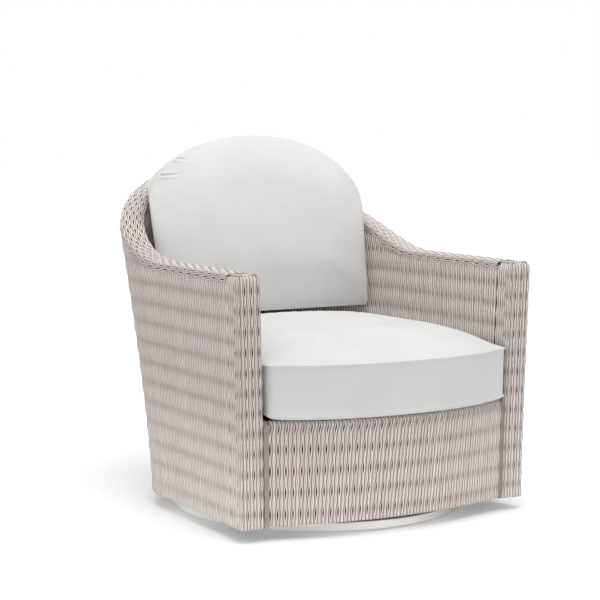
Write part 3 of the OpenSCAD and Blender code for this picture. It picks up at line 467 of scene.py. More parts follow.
def panel(name, columns, rows, first_x, first_y, pitch, period, source=None):
    piece = copy_of(source or unit, name)
    co = points(piece)
    co[:, 0] *= pitch / PITCH
    co[:, 1] *= period / PERIOD
    set_points(piece, co)
    apply_modifier(piece, "ARRAY", count=rows, use_relative_offset=False, use_constant_offset=True,
                   constant_offset_displace=(0, period, 0), use_merge_vertices=True, merge_threshold=0.0002)
    apply_modifier(piece, "ARRAY", count=columns, use_relative_offset=False, use_constant_offset=True,
                   constant_offset_displace=(pitch, 0, 0))
    co = points(piece)
    which = np.round(get_value(piece, "which"))
    column = np.floor(co[:, 0] / pitch + 1e-6 - (which >= 2) * 0.25)
    strand = (np.clip(column, 0, columns) * 4 + which).astype(int)
    set_value(piece, "tone", rng.random(4 * columns + 8)[strand])
    co[:, 0] += first_x
    co[:, 1] += first_y
    set_points(piece, co)
    return piece


def trim(piece, low, high):
    co = points(piece)
    lows, highs = low(co[:, 0]), high(co[:, 0])
    out = (co[:, 1] <= lows) | (co[:, 1] >= highs)
    side = np.where(co[:, 1] >= highs, 1, -1)
    co[:, 1] = np.clip(co[:, 1], lows, highs)
    set_points(piece, co)
    mesh = piece.data
    corners = np.zeros(len(mesh.loops), int)
    mesh.loops.foreach_get("vertex_index", corners)
    quads = corners.reshape(-1, 4)
    gone = out[quads].all(1)
    pick(piece)
    mesh.vertices.foreach_set("select", [False] * len(mesh.vertices))
    mesh.edges.foreach_set("select", [False] * len(mesh.edges))
    mesh.polygons.foreach_set("select", gone)
    bpy.ops.object.mode_set(mode="EDIT")
    bpy.ops.mesh.select_mode(type="FACE")
    bpy.ops.mesh.delete(type="FACE")
    bpy.ops.mesh.select_mode(type="VERT")
    bpy.ops.mesh.select_all(action="DESELECT")
    bpy.ops.mesh.select_loose()
    bpy.ops.mesh.delete(type="VERT")
    bpy.ops.object.mode_set(mode="OBJECT")


def lay(piece, surface):
    co = points(piece)
    set_points(piece, surface(co[:, 0], co[:, 1], co[:, 2]))


# A dark sheet just behind the weave: painted shade for the hollow inside the wall, seen through the slits.
def lining(name, x0, x1, y0, y1, nx, ny, surface, low=None, high=None):
    deselect()
    bpy.ops.mesh.primitive_grid_add(x_subdivisions=nx, y_subdivisions=ny, size=2, location=(0, 0, 0))
    piece = bpy.context.object
    piece.name = name
    co = points(piece)
    x = mix(x0, x1, (co[:, 0] + 1) / 2)
    y = (co[:, 1] + 1) / 2
    lows = low(x) if low else y0
    highs = high(x) if high else y1
    set_points(piece, surface(x, mix(lows, highs, y), np.full(len(x), -SHADE_SHEET_DEPTH)))
    apply_modifier(piece, "SOLIDIFY", thickness=0.0008, offset=-1)
    return piece


def done(piece, body, slot, *replaced):
    piece.data.materials.clear()
    piece.data.materials.append(finishes[slot])
    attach(piece, body)
    if replaced:
        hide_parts(*replaced)
    print(piece.name, len(piece.data.polygons), "faces")
    return piece


# %% [markdown]
# ## Finishes
# Wicker is extruded plastic, cream with here and there a pinkish or a greenish length. Across each strand
# the colour runs from cream at the edge beside the slit, a painted highlight, to taupe at the other edge,
# which is painted shade. Its low rows lie in their own shade, so their ramp is the darker of two that are
# mixed by row, and a second ramp darkens them a little more; both are painted shade. The slits look dark
# because a dark sheet behind them paints the shade inside the hollow wall. Metal is painted cream on the
# base, grey in the frame and dark in the mechanism. The cloth is a white outdoor canvas whose threads are
# about a millimetre apart.

# %% Wicker finish
finishes = {}
wicker, graph, links, shader = new_material("wicker")
across = add(graph, "ShaderNodeAttribute", attribute_name="across")
crest = add(graph, "ShaderNodeAttribute", attribute_name="crest")
tone = add(graph, "ShaderNodeAttribute", attribute_name="tone")
place = add(graph, "ShaderNodeTexCoord")
# Painted light: across each strand the cream edge by the slit is a painted highlight and the taupe edge is
# painted shade; the low-row ramp is darker as painted row shade.
low_row = ramp(graph, [(0.10, srgb(253, 249, 246)), (0.42, srgb(241, 234, 230)),
                       (0.66, srgb(184, 172, 167)), (0.98, srgb(114, 101, 96))])
high_row = ramp(graph, [(0.10, srgb(254, 251, 249)), (0.48, srgb(238, 232, 229)),
                        (0.98, srgb(144, 131, 127))])
either = add(graph, "ShaderNodeMapRange")
either.inputs["From Min"].default_value = -1.0
links.new(across.outputs["Fac"], either.inputs["Value"])
links.new(either.outputs["Result"], low_row.inputs["Fac"])
links.new(either.outputs["Result"], high_row.inputs["Fac"])
edge = add(graph, "ShaderNodeMix", data_type="RGBA")
links.new(crest.outputs["Fac"], edge.inputs[0])
links.new(low_row.outputs["Color"], edge.inputs[6])
links.new(high_row.outputs["Color"], edge.inputs[7])
lengths = ramp(graph, [(0.0, srgb(236, 224, 222)), (0.35, srgb(248, 244, 243)),
                       (0.7, srgb(236, 236, 230)), (1.0, srgb(255, 253, 252))])
links.new(tone.outputs["Fac"], lengths.inputs["Fac"])
toned = add(graph, "ShaderNodeMix", data_type="RGBA", blend_type="MULTIPLY")
toned.inputs[0].default_value = 0.75
links.new(edge.outputs[2], toned.inputs[6])
links.new(lengths.outputs["Color"], toned.inputs[7])
streak = add(graph, "ShaderNodeTexNoise", Scale=90.0, Detail=3.0)
stretch = add(graph, "ShaderNodeMapping")
stretch.inputs["Scale"].default_value = (1, 1, 0.25)
links.new(place.outputs["Object"], stretch.inputs["Vector"])
links.new(stretch.outputs["Vector"], streak.inputs["Vector"])
patches = ramp(graph, [(0.30, (0.90, 0.89, 0.89)), (0.60, (1, 1, 1))])
links.new(streak.outputs["Fac"], patches.inputs["Fac"])
worn = add(graph, "ShaderNodeMix", data_type="RGBA", blend_type="MULTIPLY")
worn.inputs[0].default_value = 0.8
links.new(toned.outputs[2], worn.inputs[6])
links.new(patches.outputs["Color"], worn.inputs[7])
# Painted shade: this ramp darkens the low rows of the weave a little more, for the shade deep between the
# strands.
deep = ramp(graph, [(0.0, (0.88, 0.86, 0.855)), (0.5, (0.94, 0.93, 0.93)), (1.0, (0.98, 0.98, 0.98))])
links.new(crest.outputs["Fac"], deep.inputs["Fac"])
sunk = add(graph, "ShaderNodeMix", data_type="RGBA", blend_type="MULTIPLY")
sunk.inputs[0].default_value = 1.0
links.new(worn.outputs[2], sunk.inputs[6])
links.new(deep.outputs["Color"], sunk.inputs[7])
links.new(sunk.outputs[2], shader.inputs["Base Color"])
shader.inputs["Roughness"].default_value = 0.55
shader.inputs["Specular IOR Level"].default_value = 0.35
grain = add(graph, "ShaderNodeTexNoise", Scale=900.0, Detail=2.0)
links.new(stretch.outputs["Vector"], grain.inputs["Vector"])
bump = add(graph, "ShaderNodeBump", Strength=0.25, Distance=0.0004)
links.new(grain.outputs["Fac"], bump.inputs["Height"])
links.new(bump.outputs["Normal"], shader.inputs["Normal"])
finishes["weave"] = wicker

# Painted shade: this dark brown stands for the shade inside the hollow wall behind the slits.
dark, graph, links, shader = new_material("wicker_lining")
cloud = add(graph, "ShaderNodeTexNoise", Scale=60.0, Detail=2.0)
place = add(graph, "ShaderNodeTexCoord")
links.new(place.outputs["Object"], cloud.inputs["Vector"])
shade = ramp(graph, [(0.3, srgb(60, 47, 42)), (0.7, srgb(88, 74, 67))])
links.new(cloud.outputs["Fac"], shade.inputs["Fac"])
links.new(shade.outputs["Color"], shader.inputs["Base Color"])
shader.inputs["Roughness"].default_value = 0.8
finishes["lining"] = dark


# %% Metal, plastic and webbing finishes
def speckled(name, low, high, scale, rough, metal, bump_height):
    material, graph, links, shader = new_material(name)
    place = add(graph, "ShaderNodeTexCoord")
    cloud = add(graph, "ShaderNodeTexNoise", Scale=scale, Detail=4.0)
    links.new(place.outputs["Object"], cloud.inputs["Vector"])
    shade = ramp(graph, [(0.35, low), (0.65, high)])
    links.new(cloud.outputs["Fac"], shade.inputs["Fac"])
    links.new(shade.outputs["Color"], shader.inputs["Base Color"])
    polish = add(graph, "ShaderNodeMapRange")
    polish.inputs["To Min"].default_value = rough - 0.06
    polish.inputs["To Max"].default_value = rough + 0.06
    links.new(cloud.outputs["Fac"], polish.inputs["Value"])
    links.new(polish.outputs["Result"], shader.inputs["Roughness"])
    shader.inputs["Metallic"].default_value = metal
    fine = add(graph, "ShaderNodeTexNoise", Scale=scale * 12, Detail=2.0)
    links.new(place.outputs["Object"], fine.inputs["Vector"])
    bump = add(graph, "ShaderNodeBump", Strength=0.3, Distance=bump_height)
    links.new(fine.outputs["Fac"], bump.inputs["Height"])
    links.new(bump.outputs["Normal"], shader.inputs["Normal"])
    return material


for slot, name, low, high, scale, rough, metal, bump_height in (
        ("cream_metal", "cream_paint", (250, 247, 243), (253, 251, 248), 35, 0.42, 0.0, 0.0002),
        ("dark_metal", "dark_paint", (44, 44, 46), (58, 58, 60), 40, 0.45, 0.0, 0.0003),
        ("frame_metal", "frame_paint", (128, 127, 125), (146, 145, 143), 30, 0.40, 0.0, 0.0002),
        ("bright_metal", "zinc_plate", (176, 178, 182), (206, 208, 210), 50, 0.30, 1.0, 0.0001),
        ("spring_steel", "spring_steel", (96, 98, 102), (128, 130, 134), 60, 0.34, 1.0, 0.0001),
        ("nylon", "nylon", (212, 208, 196), (224, 221, 212), 25, 0.50, 0.0, 0.0002),
        ("rubber", "rubber", (28, 28, 28), (40, 40, 40), 70, 0.75, 0.0, 0.0004),
        ("strip", "edge_strip", (146, 134, 122), (160, 148, 137), 60, 0.55, 0.0, 0.0003),
        ("webbing", "webbing", (52, 52, 52), (70, 70, 70), 400, 0.85, 0.0, 0.0006)):
    finishes[slot] = speckled(name, srgb(*low), srgb(*high), scale, rough, metal, bump_height)

# %% Cloth finish
canvas, graph, links, shader = new_material("canvas")
threads = add(graph, "ShaderNodeUVMap", uv_map="thread")
warp = add(graph, "ShaderNodeTexWave", wave_type="BANDS", bands_direction="X", Scale=160.0, Distortion=0.4)
weft = add(graph, "ShaderNodeTexWave", wave_type="BANDS", bands_direction="Y", Scale=160.0, Distortion=0.4)
links.new(threads.outputs["UV"], warp.inputs["Vector"])
links.new(threads.outputs["UV"], weft.inputs["Vector"])
crossed = add(graph, "ShaderNodeMath", operation="MULTIPLY")
links.new(warp.outputs["Fac"], crossed.inputs[0])
links.new(weft.outputs["Fac"], crossed.inputs[1])
place = add(graph, "ShaderNodeTexCoord")
slub = add(graph, "ShaderNodeTexNoise", Scale=7.0, Detail=3.0)
links.new(place.outputs["Object"], slub.inputs["Vector"])
tint = ramp(graph, [(0.35, srgb(218, 218, 217)), (0.65, srgb(223, 223, 222))])
links.new(slub.outputs["Fac"], tint.inputs["Fac"])
gaps = ramp(graph, [(0.0, (0.95, 0.95, 0.95)), (0.4, (1, 1, 1))])
links.new(crossed.outputs[0], gaps.inputs["Fac"])
woven = add(graph, "ShaderNodeMix", data_type="RGBA", blend_type="MULTIPLY")
woven.inputs[0].default_value = 1.0
links.new(tint.outputs["Color"], woven.inputs[6])
links.new(gaps.outputs["Color"], woven.inputs[7])
links.new(woven.outputs[2], shader.inputs["Base Color"])
shader.inputs["Roughness"].default_value = 0.92
shader.inputs["Specular IOR Level"].default_value = 0.2
shader.inputs["Sheen Weight"].default_value = 0.15
bump = add(graph, "ShaderNodeBump", Strength=0.35, Distance=0.0003)
links.new(crossed.outputs[0], bump.inputs["Height"])
links.new(bump.outputs["Normal"], shader.inputs["Normal"])
finishes["cloth"] = canvas
print("finishes:", sorted(finishes))

# %% Finishes on the frame's own nodes
for part in frame["record"]["subparts"]:
    node = nodes[part["node"]]
    node.data.materials.clear()
    node.data.materials.append(finishes[part["material_slot"]])

# %% [markdown]
# ## The wicker on the shell
# The outer wall is laid in three lengths from the right post round the back to the left one, and the inner
# wall in two. The strands end under the rail, so their upper trim follows the rail's climb. At the bottom
# edge they are turned in under the wall.

# %% Outer wall
OUT = 0.0032
TURN = 0.002
WALL_ROW, FIRST_ROW = 0.0512, 0.0148


def outer_surface(x, y, z):
    under = np.clip(SKIRT_GAP + TURN - y, 0, None)
    angle = np.minimum(under / TURN, math.pi / 2)
    height = np.where(under > 0, SKIRT_GAP + TURN - (TURN + z) * np.sin(angle), y)
    tucked = np.clip(under - TURN * math.pi / 2, 0, None)
    inset = np.where(under > 0, OUT + TURN - (TURN + z) * np.cos(angle) + tucked, OUT - z)
    return wall(x, height, inset)


def under_rail(s):
    return rail_top(s) - CAP_H + 0.004


JOIN = POST_W - 0.003
wall_columns = int(round((full_run - 2 * JOIN) / 0.0206))
wall_pitch = (full_run - 2 * JOIN) / wall_columns
cuts = [0, wall_columns // 3, 2 * wall_columns // 3 + 1, wall_columns]
for number, (a, b) in enumerate(zip(cuts[:-1], cuts[1:])):
    x0 = JOIN + a * wall_pitch
    tallest = float(rail_top(np.linspace(x0, JOIN + b * wall_pitch, 60)).max())
    rows = int(math.ceil((tallest - FIRST_ROW) / WALL_ROW)) + 1
    part = panel("outer_wicker_%d" % (number + 1), b - a, rows, x0, FIRST_ROW, wall_pitch, WALL_ROW)
    trim(part, lambda x: np.full(len(x), SKIRT_GAP - 0.006), under_rail)
    lay(part, outer_surface)
    smooth(part)
    done(part, "rocker", "weave", "outer_weave")
shell = lining("outer_lining", POST_W, full_run - POST_W, 0, 0, 120, 12,
               lambda x, y, z: wall(x, y, OUT - z),
               low=lambda x: np.full(len(x), SKIRT_GAP + 0.003), high=lambda x: rail_top(x) - CAP_H + 0.006)
done(shell, "rocker", "weave")
shell.data.materials[0] = finishes["lining"]

# %% Inner wall
IN = RAIL_W - 0.0032
inner_columns = int(round((full_run - 2 * JOIN) / 0.0222))
inner_pitch = (full_run - 2 * JOIN) / inner_columns
half = inner_columns // 2
for number, (a, b) in enumerate([(0, half), (half, inner_columns)]):
    x0 = JOIN + a * inner_pitch
    part = panel("inner_wicker_%d" % (number + 1), b - a, 12, x0, FIRST_ROW + 5 * WALL_ROW, inner_pitch,
                 WALL_ROW)
    trim(part, lambda x: np.full(len(x), DECK + 0.001), under_rail)
    co = points(part)
    co[:, 0] = full_run - co[:, 0]
    set_points(part, co)
    lay(part, lambda x, y, z: wall(x, y, IN + z))
    smooth(part)
    done(part, "rocker", "weave", "inner_weave")
shell = lining("inner_lining", full_run - POST_W, POST_W, 0, 0, 120, 8,
               lambda x, y, z: wall(x, y, IN + z),
               low=lambda x: np.full(len(x), DECK + 0.001), high=lambda x: rail_top(x) - CAP_H + 0.006)
done(shell, "rocker", "weave")
shell.data.materials[0] = finishes["lining"]

# %% [markdown]
# ## The arm posts
# A post is wrapped on three sides. Its front strands run up, bend over the top edge and lie back along the
# arm to where the rail begins. Its side strands only tuck over the edge, and their rows go on from the wall
# beside them, while the front has rows of its own. Above the crown the strands are drawn out, so that no
# slit falls on the bend.

# %% Arm posts
ROUND = 0.013
flat_side = POST_W - POST_R
quarter = POST_R * math.pi / 2
outline = [0, flat_side, flat_side + quarter, flat_side + quarter + POST_W - 2 * POST_R]
outline += [outline[-1] + quarter, outline[-1] + quarter + flat_side]
post_run = outline[-1]


def post_outline(q):
    turn = np.interp(q, outline, [0, 0, math.pi / 2, math.pi / 2, math.pi, math.pi])
    a = np.interp(q, outline, [0, 0, POST_R, POST_W - POST_R, POST_W, POST_W])
    b = np.interp(q, outline, [POST_W, POST_R, 0, 0, POST_R, POST_W])
    on_first = (q > outline[1]) & (q < outline[2])
    on_second = (q > outline[3]) & (q < outline[4])
    a = np.where(on_first, POST_R - POST_R * np.cos(turn), a)
    b = np.where(on_first | on_second, POST_R - POST_R * np.sin(turn), b)
    a = np.where(on_second, POST_W - POST_R - POST_R * np.cos(turn), a)
    return a, b, -np.cos(turn), -np.sin(turn)


CROWN, STRETCH = 0.608, 2.3
SUNK = 0.003
edge_z = ARM_HEIGHT - SUNK - ROUND


def post_surface(q, y, z):
    y = np.where(y > CROWN, CROWN + (y - CROWN) * STRETCH, y)
    over = np.clip(y - edge_z, 0, None)
    angle = np.minimum(over / ROUND, math.pi / 2)
    beyond = np.clip(over - ROUND * math.pi / 2, 0, None)
    height = np.where(over > 0, edge_z + (ROUND + z) * np.sin(angle), y)
    a, b, na, nb = post_outline(q)
    out = np.where(over > 0, (ROUND + z) * np.cos(angle) - ROUND - beyond, z) - SUNK
    x = half_width(height) - POST_W + a + na * out
    return np.stack([x, -front_at(height) + b + nb * out + axis_y, height], -1)


def post_over(q):
    a, b, na, nb = post_outline(q)
    end = edge_z + ROUND * math.pi / 2 + np.where(nb < -0.97, 0.046, 0.012)
    return CROWN + (end - CROWN) / STRETCH


POST_ROW = 0.0482
side_start, side_pitch = 0.003, 0.0182
front_start = side_start + 2 * side_pitch
front_pitch = (post_run - 2 * front_start) / 6
for side, name in ((1, "right"), (-1, "left")):
    part = panel(name + "_post_wicker", 6, 15, front_start, 0.597 - 12 * POST_ROW, front_pitch, POST_ROW,
                 unit if side > 0 else swapped_unit)
    outer = panel(name + "_outer_side", 2, 14, side_start, FIRST_ROW, side_pitch, WALL_ROW, swapped_unit)
    inner = panel(name + "_inner_side", 2, 14, post_run - front_start, FIRST_ROW, side_pitch, WALL_ROW, unit)
    join(part, outer, inner)
    trim(part, lambda x: np.full(len(x), SKIRT_GAP + 0.0), post_over)
    lay(part, post_surface)
    post_shade_sheet = lining(name + "_post_lining", 0, post_run, 0, 0, 40, 40, post_surface,
                   low=lambda x: np.full(len(x), SKIRT_GAP + 0.002), high=post_over)
    if side < 0:
        for piece in (part, post_shade_sheet):
            co = points(piece)
            co[:, 0] *= -1
            set_points(piece, co)
            on_whole(piece, bpy.ops.mesh.flip_normals)
    smooth(part)
    done(part, "rocker", "weave", name + "_arm_post")
    done(post_shade_sheet, "rocker", "weave")
    post_shade_sheet.data.materials[0] = finishes["lining"]

# %% [markdown]
# ## The rail
# The same weave is turned to run along the rail. Its path goes round the rail's section: up the outside,
# over the rounded top and down the inside.

# %% Rail
section = np.array([(0, -0.0240), (0, -0.0072), (0.0012, -0.0042), (0.0033, -0.0024), (0.0062, -0.0009),
                    (0.0100, 0), (0.0330, 0.0012), (0.0560, 0), (0.0598, -0.0009), (0.0627, -0.0024),
                    (0.0648, -0.0042), (0.0660, -0.0072), (0.0660, -0.0240)])
section_run = np.concatenate([[0], np.cumsum(np.linalg.norm(np.diff(section, axis=0), axis=1))])
section_dir = np.gradient(section, section_run, axis=0)
section_dir /= np.linalg.norm(section_dir, axis=1)[:, None]


def rail_surface(w, s, z):
    x = np.interp(w, section_run, section[:, 0])
    y = np.interp(w, section_run, section[:, 1])
    dx = np.interp(w, section_run, section_dir[:, 0])
    dy = np.interp(w, section_run, section_dir[:, 1])
    z = z - SUNK
    flat = along(top, s) + along(top_in, s) * (x - dy * z)[..., None]
    return np.stack([flat[..., 0], flat[..., 1] + axis_y, rail_top(s) + y + dx * z], -1)


RAIL_ROW = 0.045
rail_pitch = section_run[-1] / 5.5
rows = int(math.ceil((full_run - 2 * POST_W) / RAIL_ROW)) + 2
part = panel("rail_wicker", 7, rows, -0.0065, POST_W - RAIL_ROW, rail_pitch, RAIL_ROW, rail_unit)
trim(part, lambda x: np.full(len(x), POST_W - 0.004), lambda x: np.full(len(x), full_run - POST_W + 0.004))
co = points(part)
co[:, 0] = np.clip(co[:, 0], 0, section_run[-1])
set_points(part, co)
lay(part, rail_surface)
smooth(part)
done(part, "rocker", "weave", "top_rail")
shell = lining("rail_lining", 0, section_run[-1], POST_W - 0.012, full_run - POST_W + 0.012, 20, 160,
               rail_surface)
done(shell, "rocker", "weave")
shell.data.materials[0] = finishes["lining"]

# %% [markdown]
# ## The front skirt
# The skirt bows out between the posts and rolls back over the front bar under the cushion. On the roll the
# strands lean, as a twisted pair does. Its columns are spaced along the bow, not across the chair, or they
# would widen towards the ends.

# %% Front skirt
SKIRT_TOP, ROLL = 0.2713, 0.0166
SKIRT_W, SKIRT_COLUMNS = 0.668, 36


def skirt_half(z):
    return half_width(z) - POST_W


def skirt_y(u, z):
    bow = mix(0.058, 0.093, np.minimum((z - SKIRT_GAP) / (SKIRT_TOP - SKIRT_GAP), 1))
    return 0.007 - front_at(z) - bow * (1 - u * u), bow


steps = np.linspace(-1, 1, 201)
arc = np.concatenate([[0], np.cumsum(np.hypot(0.01, np.diff(0.25 * steps * steps)))])
arc = 2 * arc / arc[-1] - 1


def skirt_surface(x, y, z):
    z = z - 0.0032
    over = np.clip(y - SKIRT_TOP, 0, None)
    angle = np.minimum(over / ROLL, math.pi / 2)
    beyond = np.clip(over - ROLL * math.pi / 2, 0, None)
    under = np.clip(SKIRT_GAP + TURN - y, 0, None)
    low = np.minimum(under / TURN, math.pi / 2)
    tucked = np.clip(under - TURN * math.pi / 2, 0, None)
    height = np.clip(y, SKIRT_GAP, SKIRT_TOP)
    lean = 0.006 * ease((y - 0.258) / 0.030)
    half = skirt_half(height)
    u = np.interp((x + lean) / (SKIRT_W / 2), arc, steps) * (half - 0.0085) / half
    front, bow = skirt_y(u, height)
    slope = bow * 2 * u / half
    size = np.sqrt(1 + slope * slope)
    px = half * u + np.where(over > 0, 0, z * slope / size)
    py = front - np.where(over > 0, 0, z / size)
    py = np.where(over > 0, front + ROLL - (ROLL + z) * np.cos(angle) + beyond, py)
    pz = np.where(over > 0, SKIRT_TOP + (ROLL + z) * np.sin(angle), height)
    py = np.where(under > 0, front + TURN - (TURN + z) * np.cos(low) + tucked, py)
    pz = np.where(under > 0, SKIRT_GAP + TURN - (TURN + z) * np.sin(low), pz)
    return np.stack([px, py + axis_y, pz], -1)


part = panel("skirt_wicker", SKIRT_COLUMNS, 7, -SKIRT_W / 2, 0.0092, SKIRT_W / SKIRT_COLUMNS, 0.0522)
trim(part, lambda x: np.full(len(x), SKIRT_GAP - 0.006),
     lambda x: np.full(len(x), SKIRT_TOP + ROLL * 1.57 + 0.012))
lay(part, skirt_surface)
smooth(part)
done(part, "rocker", "weave", "front_skirt")
shell = lining("skirt_lining", -SKIRT_W / 2, SKIRT_W / 2, SKIRT_GAP + 0.004, SKIRT_TOP + ROLL * 1.5, 48, 20,
               skirt_surface)
done(shell, "rocker", "weave")
shell.data.materials[0] = finishes["lining"]

# %% [markdown]
# ## The springs
# Each spring is one wire. A straight tube is laid along a coil whose end turns lie close. In the chair it
# stands between the swivel and the rocker and bends when the seat rocks; here it is laid at rest.

# %% Springs
WIRE, COIL, TURNS, SPRING_Z, SPRING_H = 0.003, 0.022, 7.0, 0.0523, 0.162
open_pitch = (SPRING_H - 2 * WIRE - 2 * 0.0069) / (TURNS - 2)


def coil(x, y, z, cx, cy):
    t = y
    climb = np.where(t < 1, 0.0069 * t, np.where(t < TURNS - 1, 0.0069 + open_pitch * (t - 1),
                     0.0069 + open_pitch * (TURNS - 2) + 0.0069 * (t - TURNS + 1)))
    a = 2 * math.pi * t
    r = COIL + x
    return np.stack([cx + r * np.cos(a), cy + axis_y + r * np.sin(a), SPRING_Z + WIRE + climb + z], -1)


deselect()
bpy.ops.mesh.primitive_cylinder_add(vertices=10, radius=WIRE, depth=1 / 24, end_fill_type="NOTHING",
                                    rotation=(math.pi / 2, 0, 0), location=(0, 1 / 48, 0))
wire = bpy.context.object
bpy.ops.object.transform_apply(location=True, rotation=True, scale=True)
apply_modifier(wire, "ARRAY", count=int(TURNS * 24), use_relative_offset=False, use_constant_offset=True,
               constant_offset_displace=(0, 1 / 24, 0), use_merge_vertices=True, merge_threshold=0.0005)
on_whole(wire, bpy.ops.mesh.fill_holes, sides=10)
on_whole(wire, bpy.ops.mesh.normals_make_consistent, inside=False)
for where, cy in (("front", -0.084), ("rear", 0.084)):
    for side, cx in (("left", -0.058), ("right", 0.058)):
        spring = copy_of(wire, where + "_spring_" + side)
        co = points(spring)
        set_points(spring, coil(co[:, 0], co[:, 1], co[:, 2], cx, cy))
        on_whole(spring, bpy.ops.mesh.normals_make_consistent, inside=False)
        smooth(spring, 60)
        spring.data.materials.append(finishes["spring_steel"])
        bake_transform(spring)
        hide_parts(where + "_springs")
bpy.data.objects.remove(wire)
bpy.data.objects.remove(unit)
bpy.data.objects.remove(rail_unit)
bpy.data.objects.remove(swapped_unit)
print("springs coiled")


# %% [markdown]
# ## The cushions
# Both cushions are sewn boxes of canvas over foam: two panels and a band between them. Each starts as a
# sphere, because its rings and poles are the loops that a box cushion needs. Every ring is moved to its
# place on the box: the first rings are one panel, three tight rings make a seam with its ridge, and so on to
# the other panel. Then the box is blown up as cloth, held at its seams and where it rests, so that its free
# panels crown while the seams stay sharp.

# %% Cushion helpers
RIDGE, TIGHT = 0.0042, 0.0022


def sewn(name, rings):
    rings = np.array(rings)
    count, around = rings.shape[:2]
    deselect()
    bpy.ops.mesh.primitive_uv_sphere_add(segments=around, ring_count=count + 1, radius=1, location=(0, 0, 0))
    piece = bpy.context.object
    piece.name = name
    co = points(piece)
    level = np.round((np.arcsin(np.clip(co[:, 2], -1, 1)) / math.pi + 0.5) * (count + 1)).astype(int)
    turn = np.round(np.arctan2(co[:, 1], co[:, 0]) / (2 * math.pi) * around).astype(int) % around
    inner = (level > 0) & (level <= count)
    co[inner] = rings[level[inner] - 1, turn[inner]]
    co[level == 0] = rings[0].mean(0)
    co[level == count + 1] = rings[-1].mean(0)
    set_points(piece, co)
    on_whole(piece, bpy.ops.mesh.normals_make_consistent, inside=False)
    return piece, level - 1


def blow_up(piece, held, cap, pressure=4.0):
    before = points(piece)
    group = piece.vertex_groups.new(name="seams")
    group.add([int(v) for v in np.nonzero(held)[0]], 1.0, "REPLACE")
    pick(piece)
    modifier = piece.modifiers.new("Cloth", "CLOTH")
    s = modifier.settings
    s.quality = 4
    s.mass = 0.3
    s.tension_stiffness = 20
    s.compression_stiffness = 15
    s.shear_stiffness = 10
    s.bending_stiffness = 2.0
    s.use_pressure = True
    s.uniform_pressure_force = pressure
    s.effector_weights.gravity = 0
    s.vertex_group_mass = "seams"
    modifier.collision_settings.use_collision = False
    for step in range(1, 21):
        bpy.context.scene.frame_set(step)
    bpy.ops.object.modifier_apply(modifier=modifier.name)
    bpy.context.scene.frame_set(1)
    piece.vertex_groups.clear()
    move = points(piece) - before
    far = np.linalg.norm(move, axis=1)
    move *= (cap * np.tanh(far / cap) / np.maximum(far, 1e-9))[:, None]
    set_points(piece, before + move)
    print(piece.name, "swelled by up to", round(float(far.max()) * 1000, 1), "mm, kept to", cap * 1000, "mm")


def relax(piece, chosen, times):
    group = piece.vertex_groups.new(name="panel")
    group.add([int(v) for v in np.nonzero(chosen)[0]], 1.0, "REPLACE")
    apply_modifier(piece, "SMOOTH", factor=0.5, iterations=times, vertex_group="panel")
    piece.vertex_groups.clear()


def thread_map(piece):
    mesh = piece.data
    co = points(piece)
    layer = mesh.uv_layers.get("thread") or mesh.uv_layers.new(name="thread")
    corners = np.zeros(len(mesh.loops), int)
    mesh.loops.foreach_get("vertex_index", corners)
    normals = np.zeros(len(mesh.polygons) * 3)
    mesh.polygons.foreach_get("normal", normals)
    totals = np.zeros(len(mesh.polygons), int)
    mesh.polygons.foreach_get("loop_total", totals)
    facing = np.abs(np.repeat(normals.reshape(-1, 3), totals, axis=0))
    p = co[corners]
    main = facing.argmax(1)
    u = np.where(main == 0, p[:, 1], p[:, 0])
    v = np.where(main == 2, p[:, 1], p[:, 2])
    layer.data.foreach_set("uv", np.stack([u, v], 1).ravel())


def pad(piece, node):
    thread_map(piece)
    smooth(piece)
    done(piece, "rocker", "cloth", node)


# %% [markdown]
# ### Seat cushion
# The seat's outline bows forward between the arms, follows their lean and rounds off inside the back. Its
# top panel is crowned, its underside rolls in under the lower seam.

# %% Seat cushion
SEAT_H, SEAT_CROWN, SIDE_GAP = 0.134, 0.052, 0.006
SEAT_FRONT = 0.007 - ARM_FRONT - 0.093 - 0.003
SEAM_Z = DECK + SEAT_H


def back_k(z):
    return flared(z, BACK_HEIGHT)


def bend_at(z):
    return [mix(low, high, back_k(z)) for low, high in zip(FOOT_BEND, TOP_BEND)]


def half_at_back(z):
    return mix(FOOT_SPAN, ARM_SPAN, back_k(z)) / 2 - RAIL_W


def seat_outline(inset, z):
    z = min(z, SEAM_Z)
    w = half_width(z) - RAIL_W - SIDE_GAP - inset
    rear_w = min(w, half_at_back(z) - SIDE_GAP - inset)
    corner = -front_at(SEAM_Z) - 0.006 + inset
    start, deep, square = bend_at(DECK)
    depth = deep - RAIL_W - SIDE_GAP - inset
    u = np.linspace(-1, 1, 51)
    front = np.stack([w * u, mix(SEAT_FRONT + inset, corner, np.abs(u) ** 2.4)], 1)
    k = np.linspace(0, 1, 23)[1:]
    right = np.stack([np.full(22, w), mix(corner, start, k)], 1)
    a = np.linspace(0, math.pi, 76)[1:-1]
    rear = np.stack([mix(w, rear_w, np.sin(a)) * np.sign(np.cos(a)) * np.abs(np.cos(a)) ** (2 / square),
                     start + depth * np.sin(a) ** (2 / square)], 1)
    left = right[::-1] * [-1, 1]
    return np.vstack([front, right, rear, left])


seat_mid = (SEAT_FRONT + bend_at(DECK)[0] + bend_at(DECK)[1]) / 2


def seat_ring(z, inset, k=1.0, droop=0.0):
    flat = seat_outline(inset, z) * [k, 1]
    low = z - droop * ease((-flat[:, 1] - 0.30) / 0.07)
    return np.column_stack([flat[:, 0], mix(seat_mid, flat[:, 1], k) + axis_y, low])


